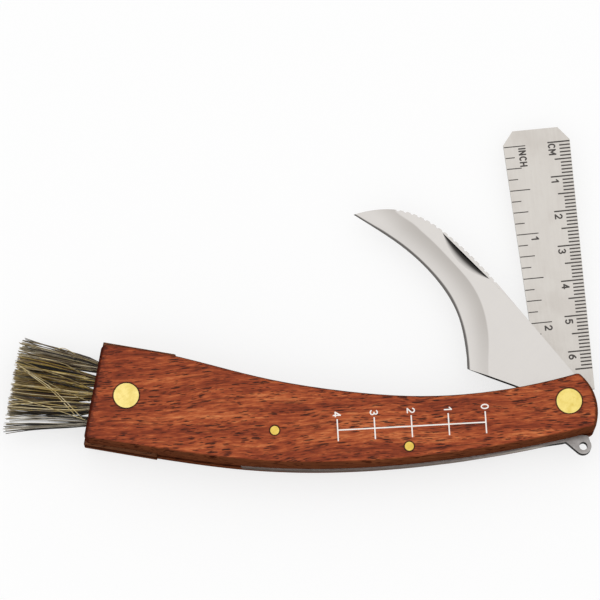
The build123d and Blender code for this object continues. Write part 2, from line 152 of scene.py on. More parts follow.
class Sheet:
    """Adds nodes to one node tree and links them."""

    def __init__(self, tree: bpy.types.NodeTree) -> None:
        """Keep the tree that the nodes go into."""
        self.tree = tree

    def fill(self, node: bpy.types.Node, values: dict) -> None:
        """Link a node's inputs or set their values.

        Args:
            node: the node.
            values: input name or number to a signal or a plain value.
        """
        for name, value in values.items():
            named = (s for s in node.inputs if s.name == name and s.enabled)
            socket = node.inputs[name] if isinstance(name, int) else next(named)
            if isinstance(value, Signal):
                self.tree.links.new(value.socket, socket)
            else:
                socket.default_value = value

    def node(self, kind: str, values: dict | None = None, **settings: object) -> bpy.types.Node:
        """Add a node, set it up and fill its inputs.

        Args:
            kind: the node's type name.
            values: input name or number to a signal or a plain value.
            **settings: properties of the node.

        Returns:
            The new node.
        """
        node = self.tree.nodes.new(kind)
        for name, setting in settings.items():
            setattr(node, name, setting)
        self.fill(node, values or {})
        return node

    def add(
        self, kind: str, values: dict | None = None, output: int | str = 0, **settings: object
    ) -> Signal:
        """Add a node and take one of its outputs."""
        return Signal(self, self.node(kind, values, **settings).outputs[output])

    def math(self, operation: str, *values: object) -> Signal:
        """Calculate with numbers."""
        return self.add("ShaderNodeMath", dict(enumerate(values)), operation=operation)

    def highest(self, first: Signal, *others: object) -> Signal:
        """Find the highest of some numbers.

        Args:
            first: one of them.
            *others: the others, signals or plain numbers.

        Returns:
            The highest.
        """
        for other in others:
            first = self.math("MAXIMUM", first, other)
        return first

    def vector(self, operation: str, *values: object, output: str = "Vector") -> Signal:
        """Calculate with vectors."""
        return self.add("ShaderNodeVectorMath", dict(enumerate(values)), output, operation=operation)

    def scaled(self, value: Signal, size: object) -> Signal:
        """Vector times a number."""
        return self.add("ShaderNodeVectorMath", {"Vector": value, "Scale": size}, operation="SCALE")

    def combine(self, x: object, y: object, z: object) -> Signal:
        """Vector of three numbers."""
        return self.add("ShaderNodeCombineXYZ", {0: x, 1: y, 2: z})

    def separate(self, value: Signal) -> list[Signal]:
        """The three numbers of a vector."""
        return [Signal(self, socket) for socket in self.node("ShaderNodeSeparateXYZ", {0: value}).outputs]

    def between(self, share: object, low: object, high: object) -> Signal:
        """Number a share of the way from one number to another."""
        return self.add("ShaderNodeMix", {0: share, 2: low, 3: high}, data_type="FLOAT")

    def tint(self, share: object, low: object, high: object) -> Signal:
        """Colour a share of the way from one colour to another."""
        return self.add("ShaderNodeMix", {0: share, 6: low, 7: high}, output=2, data_type="RGBA")

    def layered(self, colour: Signal, layers: list[tuple[Signal, Colour]]) -> Signal:
        """Lay other colours over a colour, the last one on top.

        Args:
            colour: the lowest colour.
            layers: how much each other colour covers, and the colour.

        Returns:
            The colour.
        """
        for share, painted in layers:
            colour = self.tint(share, colour, painted)
        return colour

    def noise(self, place: Signal, detail: float = 2.0, roughness: float = 0.5) -> Signal:
        """Smooth noise of unit size, 0 to 1."""
        values = {"Vector": place, "Scale": 1.0, "Detail": detail, "Roughness": roughness}
        return self.add("ShaderNodeTexNoise", values)

    def step(self, value: Signal, low: object, high: object) -> Signal:
        """Smooth step from 0 at one value to 1 at another."""
        return self.add("ShaderNodeMapRange", {0: value, 1: low, 2: high}, interpolation_type="SMOOTHSTEP")

    def ramp(self, share: Signal, stops: Stops) -> Signal:
        """Colour along a row of stops.

        Args:
            share: how far along it is, 0 to 1.
            stops: the stops.

        Returns:
            The colour.
        """
        node = self.node("ShaderNodeValToRGB", {0: share})
        row = node.color_ramp.elements
        while len(row) < len(stops):
            row.new(1.0)
        for element, (place, colour) in zip(row, stops):
            element.position = place
            element.color = colour
        return Signal(self, node.outputs[0])

    def group(self, tree: bpy.types.NodeTree, **values: object) -> dict[str, Signal]:
        """Place a shared group.

        Args:
            tree: the group's tree.
            **values: input name to value, with an underscore for each space of the name.

        Returns:
            Output name to signal.
        """
        named = {name.replace("_", " "): value for name, value in values.items()}
        node = self.node("ShaderNodeGroup", named, node_tree=tree)
        return {socket.name: Signal(self, socket) for socket in node.outputs}


class Group(Sheet):
    """A node group with named inputs, which gets its outputs when it is closed."""

    def __init__(self, name: str, kind: str, inputs: dict[str, object]) -> None:
        """Start the group.

        Args:
            name: its name.
            kind: ShaderNodeTree or GeometryNodeTree.
            inputs: input name to its default, which also gives its type; None is a material.
        """
        super().__init__(bpy.data.node_groups.new(name, kind))
        for title, default in inputs.items():
            own_type = SOCKET_TYPES.get(type(default), "NodeSocketMaterial")
            socket = self.tree.interface.new_socket(name=title, in_out="INPUT", socket_type=own_type)
            if default is not None:
                socket.default_value = default
        entry = self.tree.nodes.new("NodeGroupInput")
        self.given = {socket.name: Signal(self, socket) for socket in entry.outputs}

    def close(self, kind: str, **outputs: Signal) -> bpy.types.NodeTree:
        """Give the group its outputs.

        Args:
            kind: the type of every output.
            **outputs: output name to what it puts out.

        Returns:
            The finished tree.
        """
        for title in outputs:
            self.tree.interface.new_socket(name=title, in_out="OUTPUT", socket_type=kind)
        self.fill(self.tree.nodes.new("NodeGroupOutput"), outputs)
        return self.tree

    def close_solid(self, geometry: Signal) -> bpy.types.NodeTree:
        """Close a geometry group: its instances made real, in its one material.

        Args:
            geometry: what it has made.

        Returns:
            The finished tree.
        """
        solid = self.add("GeometryNodeRealizeInstances", {"Geometry": geometry})
        painted = {"Geometry": solid, "Material": self.given["Material"]}
        return self.close("NodeSocketGeometry", Geometry=self.add("GeometryNodeSetMaterial", painted))


@dataclass(frozen=True)
class Figure:
    """Figure of a hardwood in millimetres, its fibres along X. A cell is a length and a width."""

    sway_cell: Pair = (30.0, 18.0)
    sway: float = 4.5
    band_length: float = 36.0
    fibre_length: float = 5.0
    fleck_cell: Pair = (3.4, 0.8)
    shares: Triple = (0.4, 0.36, 0.24)
    fray_cell: Pair = (1.5, 0.16)
    fray_middle: float = 0.46
    fray: float = 0.8
    pore_rims: Pair = (0.2, 0.5)
    pore_core: float = 0.62
    crowd_cell: Pair = (12.0, 4.0)
    crowd_levels: Pair = (0.3, 0.48)
    short_pore: Pair = (0.62, 0.8)
    short_cell: Pair = (7.0, 2.0)
    short_levels: Pair = (0.36, 0.54)
    short_share: float = 0.9
    streak_cell: Pair = (16.0, 0.5)
    streak_levels: Pair = (0.56, 0.72)
    streak_share: float = 0.6
    fibre_relief: float = 0.25

    def build(self) -> bpy.types.NodeTree:
        """Build the group.

        Returns:
            The group: tone, pore mask and height.
        """
        sizes = {"Band Width": 3.4, "Fibre Width": 0.34, "Pore Width": 0.6, "Pore Length": 4.4}
        sheet = Group("wood_figure", "ShaderNodeTree", {"Place": Vector(), **sizes})
        given = sheet.given
        x, y, z = sheet.separate(given["Place"])
        slow = sheet.combine(x / self.sway_cell[0], y / self.sway_cell[1], z)
        y = y + (sheet.noise(slow, detail=1.0) - 0.5) * self.sway

        def stretched(length: object, width: object) -> Signal:
            """Place in cells of one length along the fibres and one width across them."""
            return sheet.combine(x / length, y / width, z / width)

        def dashes(length: object, width: object, crowd: Signal) -> Signal:
            """Draw short dark pores, one at most in each cell.

            Args:
                length: a cell's length along the fibres.
                width: a cell's width across them.
                crowd: mask of the places that have pores.

            Returns:
                How much of a pore covers each place, 0 to 1.
            """
            values = {"Vector": stretched(length, width), "Scale": 1.0, "Randomness": 1.0}
            cells = sheet.node("ShaderNodeTexVoronoi", values).outputs
            rim = sheet.between(sheet.separate(Signal(sheet, cells["Color"]))[0], *self.pore_rims)
            return sheet.step(Signal(sheet, cells["Distance"]) + ragged, rim, rim * self.pore_core) * crowd

        bands = sheet.noise(stretched(self.band_length, given["Band Width"]), detail=3.0, roughness=0.6)
        fibres = sheet.noise(stretched(self.fibre_length, given["Fibre Width"]), detail=4.0, roughness=0.75)
        flecks = sheet.noise(stretched(*self.fleck_cell), roughness=0.6)
        band_share, fibre_share, fleck_share = self.shares
        tone = bands * band_share + fibres * fibre_share + flecks * fleck_share
        ragged = (sheet.noise(stretched(*self.fray_cell), roughness=0.6) - self.fray_middle) * self.fray
        length, width = given["Pore Length"], given["Pore Width"]
        crowd = sheet.step(sheet.noise(stretched(*self.crowd_cell)), *self.crowd_levels)
        fewer = sheet.step(sheet.noise(stretched(*self.short_cell)), *self.short_levels)
        short_length, short_width = self.short_pore
        streaks = sheet.step(sheet.noise(stretched(*self.streak_cell), roughness=0.6), *self.streak_levels)
        long_pores = dashes(length, width, crowd)
        short_pores = dashes(length * short_length, width * short_width, fewer * self.short_share)
        pores = sheet.highest(long_pores, short_pores, streaks * self.streak_share)
        height = fibres * self.fibre_relief - pores
        return sheet.close("NodeSocketFloat", Tone=tone, Pores=pores, Height=height)


class Effects:
    """Shader groups that more than one finish uses, each built once."""

    def __init__(self) -> None:
        """Build the groups."""
        self.figure = Figure().build()
        self.brushing = self.build_brushing()
        self.handling = self.build_handling()
        self.burn = self.build_burn()

    @staticmethod
    def build_brushing() -> bpy.types.NodeTree:
        """Fine parallel lines of brushed metal in millimetres, along X.

        Returns:
            The group: line mask and height.
        """
        inputs = {"Place": Vector(), "Line Length": 9.0, "Line Width": 0.05}
        inputs |= {"Streaks": 1.6, "Line Share": 0.6}
        sheet = Group("brushed_lines", "ShaderNodeTree", inputs)
        x, y, z = sheet.separate(sheet.given["Place"])
        along = x / sheet.given["Line Length"]
        lines = sheet.noise(sheet.combine(along, y / sheet.given["Line Width"], z), roughness=0.7)
        streaks = sheet.noise(sheet.combine(along, y * sheet.given["Streaks"], z))
        both = sheet.between(sheet.given["Line Share"], streaks, lines)
        return sheet.close("NodeSocketFloat", Lines=both, Height=lines)

    @staticmethod
    def build_handling() -> bpy.types.NodeTree:
        """Cloudy smudges and a few finer specks, as handling leaves them.

        Returns:
            The group: one mask.
        """
        inputs = {"Place": Vector(), "Patch": 9.0, "Amount": 0.5, "Speck Share": 0.3}
        sheet = Group("handling", "ShaderNodeTree", inputs)
        place = sheet.given["Place"]
        clouds = sheet.noise(sheet.scaled(place, 1.0 / sheet.given["Patch"]), detail=3.0, roughness=0.6)
        specks = sheet.noise(place, detail=3.0, roughness=0.7)
        soft = sheet.step(clouds, *CLOUD_LEVELS)
        both = sheet.between(sheet.given["Speck Share"], soft, sheet.step(specks, *SPECK_LEVELS))
        return sheet.close("NodeSocketFloat", Mask=both * sheet.given["Amount"])

    @staticmethod
    def build_burn() -> bpy.types.NodeTree:
        """Dark ring in the wood round a fastener's head.

        Returns:
            The group: one mask.
        """
        inputs = {"Place": Vector(), "Centre": Vector(), "Radius": 3.5, "Width": 0.4}
        sheet = Group("fastener_dark_ring", "ShaderNodeTree", inputs)
        x, y, _ = sheet.separate(sheet.vector("SUBTRACT", sheet.given["Place"], sheet.given["Centre"]))
        far = sheet.vector("LENGTH", sheet.combine(x, y, 0.0), output="Value")
        radius = sheet.given["Radius"]
        return sheet.close("NodeSocketFloat", Mask=sheet.step(far, radius + sheet.given["Width"], radius))


class Surface(Sheet):
    """Adds nodes to one material, with the shared effects at hand."""

    def __init__(self, tree: bpy.types.NodeTree, effects: Effects) -> None:
        """Keep the material's tree and the shared groups."""
        super().__init__(tree)
        self.effects = effects

    def place(self, turn_deg: float = 0.0) -> Signal:
        """Object coordinates in millimetres, with the X axis turned about Z.

        Args:
            turn_deg: how far the axis is turned on the piece.

        Returns:
            The place.
        """
        values = {
            "Vector": self.add("ShaderNodeTexCoord", output="Object"),
            "Rotation": (0.0, 0.0, -math.radians(turn_deg)),
            "Scale": (1 / MM,) * 3,
        }
        return self.add("ShaderNodeMapping", values)

    def normal(self) -> Signal:
        """Normal of the surface in the piece's own axes."""
        values = {0: self.add("ShaderNodeNewGeometry", output="Normal")}
        return self.add("ShaderNodeVectorTransform", values, vector_type="NORMAL", convert_to="OBJECT")

    def sideways(self) -> Signal:
        """Mask of the upright faces."""
        return self.step(abs(self.separate(self.normal())[2]), *UPRIGHT_NORMALS)

    def smudges(self, place: Signal, patch: object, amount: object) -> Signal:
        """Mask of handling marks: how large they are, and how strong."""
        return self.group(self.effects.handling, Place=place, Patch=patch, Amount=amount)["Mask"]

    def bump(self, height: Signal, distance_mm: float, strength: float) -> Signal:
        """Normal of a surface with this relief."""
        values = {"Height": height, "Distance": distance_mm * MM, "Strength": strength}
        return self.add("ShaderNodeBump", values)


@dataclass(frozen=True)
class Finish:
    """A material: its name, and what the inputs of its shader take."""

    name: str

    def inputs(self, sheet: Surface) -> dict[str, object]:
        """Input name to what it takes; every kind of finish has its own."""
        return {}

    def build(self, effects: Effects) -> bpy.types.Material:
        """Make the material.

        Args:
            effects: the shared groups.

        Returns:
            The material.
        """
        material = bpy.data.materials.new(self.name)
        material.use_nodes = True
        sheet = Surface(material.node_tree, effects)
        sheet.fill(material.node_tree.nodes["Principled BSDF"], self.inputs(sheet))
        return material


@dataclass(frozen=True)
class WoodFinish(Finish):
    """Satin hardwood in millimetres, its fibres along the handle, with darker end grain and painted shade on
    its sides, underside, nose end, butt edge and the faces inside the handle.
    """

    stops: Stops = ()
    grain_deg: float = 3.5
    # Colour of the pores, of the dark rings round the fasteners and of the painted shade inside the handle.
    pore_colour: Colour = screen_colour(48, 18, 10)
    pore_share: float = 0.92
    side_colour: Colour = screen_colour(88, 50, 31)
    side_share: float = 0.76
    side_worn: float = 0.3
    side_normals: Pair = (0.92, 0.55)
    lower_normals: Pair = (-0.04, -0.38)
    nose_normals: Pair = (0.1, 0.5)
    # Colour of the darker end grain, and of the painted shade along the butt.
    end_colour: Colour = screen_colour(62, 24, 17)
    end_normals: Pair = (-0.06, -0.5)
    end_flecks: Pair = (0.66, 0.36)
    end_shares: Pair = (0.45, 0.95)
    gap_level: float = 6.35
    gap_half: float = 1.2
    gap_blur: float = 0.1
    gap_share: float = 0.85
    pocket_depth: float = 1.1
    floor_normals: Pair = (0.6, 0.9)
    butt_corner: Pair = (-1000.0, 0.0)
    butt_turn_deg: float = 0.0
    scorch_limits: Pair = (5.7, 3.5)
    scorch_cells: float = 0.8
    scorch_rag: float = 6.5
    scorch_share: float = 0.7
    rings: tuple[tuple[Triple, float], ...] = ()
    ring_share: float = 0.9
    roughness: float = 0.42
    worn_roughness: float = 0.2
    relief: float = 0.05
    relief_strength: float = 0.4
    varnish: float = 0.26
    varnish_roughness: float = 0.3

    def scorch(self, sheet: Surface, place: Signal) -> Signal:
        """Ragged mask of painted shade on the wood along the butt.

        Args:
            sheet: the material's nodes.
            place: the place in millimetres.

        Returns:
            The mask.
        """
        x, y, _ = sheet.separate(place)
        turn = math.radians(self.butt_turn_deg)
        x = (x - self.butt_corner[0]) * math.cos(turn)
        y = (y - self.butt_corner[1]) * math.sin(turn)
        ragged = sheet.noise(sheet.scaled(place, self.scorch_cells), detail=3.0, roughness=0.7)
        return sheet.step(x + y + ragged * self.scorch_rag, *self.scorch_limits) * self.scorch_share

    def inside(self, sheet: Surface, height: Signal, up: Signal) -> Signal:
        """Mask of painted shade on the faces inside the handle: those that face the gap, and the pocket's
        floor.

        Args:
            sheet: the material's nodes.
            height: the place's height.
            up: how far the surface faces up.

        Returns:
            The mask.
        """
        level = abs(height - self.gap_level)
        pocket = self.gap_half + self.pocket_depth
        floor = sheet.step(level, pocket + self.gap_blur, pocket) * sheet.step(abs(up), *self.floor_normals)
        return sheet.highest(sheet.step(level, self.gap_half + self.gap_blur, self.gap_half), floor)

    def inputs(self, sheet: Surface) -> dict[str, object]:
        """What the shader's inputs take.

        Args:
            sheet: the material's nodes.

        Returns:
            Input name to signal or value.
        """
        figure = sheet.group(sheet.effects.figure, Place=sheet.place(self.grain_deg))
        tone, pores = figure["Tone"], figure["Pores"]
        plain = sheet.place()
        along, across, up = sheet.separate(sheet.normal())
        # Painted shade: the faces turned down, those towards the nose and the upright sides are darkened.
        underside_shade = sheet.step(across, *self.lower_normals)
        nose_end_shade = sheet.step(along, *self.nose_normals)
        side = sheet.highest(sheet.step(abs(up), *self.side_normals), underside_shade, nose_end_shade)
        end = sheet.step(along, *self.end_normals)
        charred = sheet.step(sheet.noise(plain, detail=3.0, roughness=0.7), *self.end_flecks)
        gap_shade = self.inside(sheet, sheet.separate(plain)[2], up)
        layers = [
            # Painted shade on the sides, deeper where the grain is darker.
            (side * self.side_share + side * ((1.0 - tone) * self.side_worn), self.side_colour),
            (pores * self.pore_share, self.pore_colour),
            (end * sheet.between(charred, *self.end_shares), self.end_colour),
            # Painted shade along the butt.
            (self.scorch(sheet, plain), self.end_colour),
            # Painted shade on the faces inside the handle.
            (gap_shade * self.gap_share, self.pore_colour),
        ]
        for centre, radius in self.rings:
            ring = sheet.group(sheet.effects.burn, Place=plain, Centre=centre, Radius=radius)["Mask"]
            layers.append((ring * self.ring_share, self.pore_colour))
        smudge = sheet.smudges(plain, patch=14.0, amount=0.35)
        return {
            "Base Color": sheet.layered(sheet.ramp(tone, self.stops), layers),
            "Roughness": pores * self.worn_roughness + self.roughness + smudge * self.worn_roughness,
            "Normal": sheet.bump(figure["Height"], self.relief, self.relief_strength),
            "Coat Weight": (1.0 - sheet.highest(side, end)) * self.varnish,
            "Coat Roughness": self.varnish_roughness,
            "IOR": 1.06,
            "Specular IOR Level": 0.0,
        }


@dataclass(frozen=True)
class MetalFinish(Finish):
    """Metal with fine lines, light handling marks and, where it has a share of it, painted shade on its
    upright faces.
    """

    colour: Colour = (0.7, 0.7, 0.7, 1.0)
    dull_colour: Colour = (0.6, 0.6, 0.6, 1.0)
    dull_lines: float = 0.6
    roughness: float = 0.3
    smudge_roughness: float = 0.15
    line_deg: float = 0.0
    line_width: float = 0.05
    line_relief: float = 0.002
    line_strength: float = 0.6
    line_roughness: float = 0.3
    handling: float = 0.4
    patch: float = 9.0
    side_colour: Colour = (0.1, 0.1, 0.1, 1.0)
    side_share: float = 0.0

    def paint(self, sheet: Surface, colour: Signal) -> Signal:
        """Paint shade on the upright faces where the piece has a share of it; a plain metal keeps the even
        colour.

        Args:
            sheet: the material's nodes.
            colour: the even colour.

        Returns:
            The colour.
        """
        if not self.side_share:
            return colour
        # Painted shade on the upright faces.
        return sheet.tint(sheet.sideways() * self.side_share, colour, self.side_colour)

    def matt(self, sheet: Surface) -> Signal | None:
        """Mask of the upright faces, left dull and given painted shade, or None on a metal that has none."""
        return sheet.sideways() * self.side_share if self.side_share else None

    def inputs(self, sheet: Surface) -> dict[str, object]:
        """What the shader's inputs take.

        Args:
            sheet: the material's nodes.

        Returns:
            Input name to signal or value.
        """
        place = sheet.place(self.line_deg)
        brushed = sheet.group(sheet.effects.brushing, Place=place, Line_Width=self.line_width)
        smudge = sheet.smudges(place, patch=self.patch, amount=self.handling)
        lines = brushed["Lines"]
        colour = sheet.tint(lines * self.dull_lines + smudge, self.colour, self.dull_colour)
        rough = (lines - 0.5) * self.line_roughness
        dull = self.matt(sheet)
        return {
            "Base Color": self.paint(sheet, colour),
            "Metallic": 1.0 if dull is None else 1.0 - dull,
            "Roughness": rough + smudge * self.smudge_roughness + self.roughness,
            "Normal": sheet.bump(brushed["Height"], self.line_relief, self.line_strength),
            "Specular IOR Level": 0.0,
        }


@dataclass(frozen=True)
class SpringFinish(MetalFinish):
    """Spring steel: satin flats, an unpolished back edge and painted shade on the upright faces round the
    eye.
    """

    edge_stops: Stops = ()
    edge_matt: float = 0.9
    strip_length: float = 96.0
    rim_colour: Colour = screen_colour(48, 46, 45)
    rim_limits: Pair = (-9.0, -4.0)
    stain_patch: float = 1.4
    stain: float = 0.9

    def paint(self, sheet: Surface, colour: Signal) -> Signal:
        """Colour the back edge, which is darker towards the butt, and paint shade on the upright faces round
        the eye.

        Args:
            sheet: the material's nodes.
            colour: the even colour.

        Returns:
            The colour.
        """
        place = sheet.place()
        x = sheet.separate(place)[0]
        stain = sheet.smudges(place, patch=self.stain_patch, amount=self.stain)
        bright = sheet.ramp((x + self.strip_length) / self.strip_length, self.edge_stops)
        # Painted shade on the upright faces round the eye.
        edge = sheet.tint(sheet.step(x, *self.rim_limits), bright, self.rim_colour)
        return sheet.tint(sheet.sideways(), sheet.tint(stain, colour, self.dull_colour), edge)

    def matt(self, sheet: Surface) -> Signal:
        """Mask of the back edge and the rim, which are left unpolished."""
        return sheet.sideways() * self.edge_matt


@dataclass(frozen=True)
class BladeFinish(MetalFinish):
    """Blade steel with painted shade on its hollow grind, along its edge bevel, on its upright faces and in
    its deep nail nick.

    Places are in millimetres on the blade drawn open, with the tip along X and the edge on the +Y side.
    """

    middle_level: float = 6.3
    half_thickness: float = 1.0
    open_deg: float = 134.0
    grind_colour: Colour = screen_colour(176, 171, 166)
    grind_depths: Pair = (0.005, 0.05)
    grind_strengths: Pair = (0.85, 0.5)
    grind_sides: Pair = (-6.8, -6.6)
    root_limits: Pair = (21.0, 34.0)
    root_shares: Pair = (0.5, 1.0)
    lean_limits: Pair = (62.0, 74.0)
    fade_depths: Pair = (0.8, 0.66)
    fade_start: float = 0.02
    rib_limits: Pair = (64.0, 71.5)
    rib_end: Pair = (73.7, 71.5)
    rib_depth: float = 0.16
    tip_limits: Pair = (69.0, 77.5)
    tip_depth: float = 0.07
    edge_colour: Colour = screen_colour(98, 95, 92)
    edge_depths: Pair = (0.76, 0.81)
    edge_share: float = 0.95
    spine_share: float = 0.45
    spine_facing: Pair = (-0.3, 0.2)
    nick_colour: Colour = screen_colour(30, 27, 25)
    nick_centre: float = 49.04
    nick_half_length: float = 9.1
    nick_spine_side: float = -9.7
    nick_height: float = 2.6
    nick_shade: Pair = (0.98, 0.3)
    nick_rim: Pair = (-0.04, 0.02)
    nick_front: float = 0.3
    nick_share: float = 0.95
    least_width: float = 0.001

    def hollow(self, sheet: Surface, x: Signal, y: Signal, depth: Signal) -> Signal:
        """Mask of painted shade on the hollow grind, darkest along its spine side.

        Args:
            sheet: the material's nodes.
            x: the place along the blade.
            y: the place across it.
            depth: how deep the surface lies under the flat.

        Returns:
            The mask.
        """
        rib = sheet.step(x, *self.rib_limits) * self.rib_depth * sheet.step(x, *self.rib_end)
        start = sheet.step(depth - rib, *self.grind_depths)
        fade_end = sheet.between(sheet.step(x, *self.lean_limits), *self.fade_depths)
        towards_tip = sheet.step(x, self.lean_limits[1], self.tip_limits[1])
        strength = sheet.between(towards_tip, *self.grind_strengths)
        root = sheet.between(sheet.step(x, *self.root_limits), *self.root_shares)
        shade = start * sheet.step(depth, fade_end, self.fade_start) * (strength * root)
        return shade * sheet.step(y, *self.grind_sides)

    def nick(self, sheet: Surface, x: Signal, y: Signal, z: Signal) -> Signal:
        """Mask of painted shade in the nail nick, darkest at its spine side.

        Args:
            sheet: the material's nodes.
            x: the place along the blade.
            y: the place across it.
            z: the place's height.

        Returns:
            The mask.
        """
        along = (x - self.nick_centre) / self.nick_half_length
        width = sheet.highest((1.0 - along * along) * self.nick_height, self.least_width)
        across = y - self.nick_spine_side
        deep = sheet.step(across / width, *self.nick_shade) * sheet.step(across, *self.nick_rim)
        return deep * sheet.step(z, self.middle_level, self.middle_level + self.nick_front)

    def paint(self, sheet: Surface, colour: Signal) -> Signal:
        """Paint shade on the ground face, the edge bevel, the upright faces and the nick, by how deep they
        lie under the flat and which way they face.

        Args:
            sheet: the material's nodes.
            colour: the even colour.

        Returns:
            The colour.
        """
        x, y, z = sheet.separate(sheet.place(self.open_deg))
        depth = self.half_thickness - abs(z - self.middle_level)
        edge = sheet.step(depth - sheet.step(x, *self.tip_limits) * self.tip_depth, *self.edge_depths)
        turn = math.radians(self.open_deg)
        across = (-math.sin(turn), math.cos(turn), 0.0)
        facing = sheet.vector("DOT_PRODUCT", sheet.normal(), across, output="Value")
        dark = sheet.between(sheet.step(facing, *self.spine_facing), self.spine_share, self.side_share)
        layers = [
            # Painted shade on the hollow grind.
            (self.hollow(sheet, x, y, depth), self.grind_colour),
            # Painted shade along the cutting edge's bevel.
            (edge * self.edge_share, self.edge_colour),
            # Painted shade on the upright faces, lighter on the spine.
            (sheet.sideways() * dark, self.side_colour),
            # Painted shade in the nail nick.
            (self.nick(sheet, x, y, z) * self.nick_share, self.nick_colour),
        ]
        return sheet.layered(colour, layers)


@dataclass(frozen=True)
class MarkFinish(Finish):
    """Paint or etching of a mark, a little uneven."""

    colour: Colour = (0.8, 0.8, 0.8, 1.0)
    worn_colour: Colour = (0.6, 0.6, 0.6, 1.0)
    roughness: float = 0.5
    worn_roughness: float = 0.2

    def inputs(self, sheet: Surface) -> dict[str, object]:
        """What the shader's inputs take.

        Args:
            sheet: the material's nodes.

        Returns:
            Input name to signal or value.
        """
        worn = sheet.smudges(sheet.place(), patch=1.2, amount=0.6)
        colour = sheet.tint(worn, self.colour, self.worn_colour)
        return {"Base Color": colour, "Roughness": worn * self.worn_roughness + self.roughness}


@dataclass(frozen=True)
class BristleFinish(Finish):
    """Natural bristle: every strand has its own tone, and pales towards its tip."""

    stops: Stops = ()
    grey_stops: Stops = ()
    tip_colour: Colour = screen_colour(205, 190, 150)
    tip_limits: Pair = (0.75, 1.0)
    tip_share: float = 0.2
    stain_middle: float = 0.25
    stain_share: float = 0.35
    roughness: float = 0.32
    stain_roughness: float = 0.2

    def inputs(self, sheet: Surface) -> dict[str, object]:
        """What the shader's inputs take.

        Args:
            sheet: the material's nodes.

        Returns:
            Input name to signal or value.
        """
        names = ("tone", "reach", "grey")
        own, reach, grey = [
            sheet.add("ShaderNodeAttribute", output="Fac", attribute_name=name) for name in names
        ]
        stain = sheet.smudges(sheet.place(), patch=3.0, amount=0.5)
        share = own + (stain - self.stain_middle) * self.stain_share
        colour = sheet.tint(grey, sheet.ramp(share, self.stops), sheet.ramp(share, self.grey_stops))
        pale = sheet.step(reach, *self.tip_limits) * self.tip_share
        return {
            "Base Color": sheet.tint(pale, colour, self.tip_colour),
            "Roughness": stain * self.stain_roughness + self.roughness,
            "Specular IOR Level": 0.4,
        }


@dataclass(frozen=True)
class FloorFinish(Finish):
    """Pale floor: near white to the camera and in reflections, and plain where it lights the object."""

    colour: Colour = (0.92, 0.92, 0.92, 1.0)
    seen_colour: Colour = (0.31, 0.31, 0.31, 1.0)
    glow: float = 0.7

    def inputs(self, sheet: Surface) -> dict[str, object]:
        """What the shader's inputs take.

        Args:
            sheet: the material's nodes.

        Returns:
            Input name to signal or value.
        """
        path = sheet.node("ShaderNodeLightPath").outputs
        rays = [Signal(sheet, path[f"Is {kind} Ray"]) for kind in ("Camera", "Glossy", "Transmission")]
        seen = sheet.highest(*rays)
        return {
            "Base Color": sheet.tint(seen, self.colour, self.seen_colour),
            "Roughness": 0.9,
            "Specular IOR Level": 0.1,
            "Emission Color": WHITE,
            "Emission Strength": seen * self.glow,
        }


def add_object(name: str, data: bpy.types.ID) -> bpy.types.Object:
    """Put new data into the scene as an object.

    Args:
        name: the object's name.
        data: its mesh, curve, lamp or camera.

    Returns:
        The object.
    """
    made = bpy.data.objects.new(name, data)
    bpy.context.scene.collection.objects.link(made)
    return made


def plain_mesh(host: bpy.types.Object) -> bpy.types.Mesh:
    """Take the mesh that an object is evaluated to, and remove the object.

    Args:
        host: a curve, or a mesh with modifiers.

    Returns:
        The mesh.
    """
    graph = bpy.context.evaluated_depsgraph_get()
    mesh = bpy.data.meshes.new_from_object(host.evaluated_get(graph))
    host.modifiers.clear()
    bpy.data.objects.remove(host)
    return mesh


def grown_mesh(name: str, tree: bpy.types.NodeTree, values: dict[str, object]) -> bpy.types.Mesh:
    """Run a geometry tree once and keep its result as a plain mesh.

    Args:
        name: the mesh's name.
        tree: the geometry tree.
        values: input name to value.

    Returns:
        The mesh.
    """
    host = add_object(name + "_host", bpy.data.meshes.new(name + "_host"))
    modifier = host.modifiers.new("grow", "NODES")
    modifier.node_group = tree
    for item in tree.interface.items_tree:
        if item.in_out == "INPUT" and item.name in values:
            modifier[item.identifier] = values[item.name]
    mesh = plain_mesh(host)
    mesh.name = name
    return mesh


def weld(mesh: bpy.types.Mesh) -> None:
    """Close a mesh whose ends only lie against its wall.

    Args:
        mesh: the mesh.
    """
    work = bmesh.new()
    work.from_mesh(mesh)
    bmesh.ops.remove_doubles(work, verts=work.verts, dist=WELD_DISTANCE)
    work.to_mesh(mesh)
    work.free()


def joined_mesh(
    name: str, parts: list[bpy.types.Mesh], material: bpy.types.Material, place: Matrix
) -> bpy.types.Mesh:
    """Join closed meshes into one in its place, with its faces outwards.

    Args:
        name: the new mesh's name.
        parts: the meshes.
        material: its one material.
        place: the frame that the meshes are drawn in.

    Returns:
        The mesh.
    """
    work = bmesh.new()
    for part in parts:
        work.from_mesh(part)
    bmesh.ops.recalc_face_normals(work, faces=work.faces)
    mesh = bpy.data.meshes.new(name)
    work.to_mesh(mesh)
    work.free()
    mesh.transform(place)
    mesh.materials.append(material)
    return mesh


def add_piece(mesh: bpy.types.Mesh, body: str) -> bpy.types.Object:
    """Put a finished mesh into the scene as a piece of the object.

    Args:
        mesh: the mesh, in the object's own frame.
        body: the body that it rides on.

    Returns:
        The piece.
    """
    piece = add_object(mesh.name, mesh)
    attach(piece, body)
    log.info("piece %s on %s, %d faces", piece.name, body, len(mesh.polygons))
    return piece


def dress(nodes: tuple[str, ...], material: bpy.types.Material) -> None:
    """Give solids of the frame a finish.

    Args:
        nodes: the names of the nodes.
        material: the finish.
    """
    for name in nodes:
        materials = frame["nodes"][name].data.materials
        materials.clear()
        materials.append(material)
        log.info("finish %s on %s", material.name, name)


def middle(node: str) -> Vector:
    """Middle of a node's box at rest, in metres."""
    low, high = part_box(node)
    return (low + high) / 2


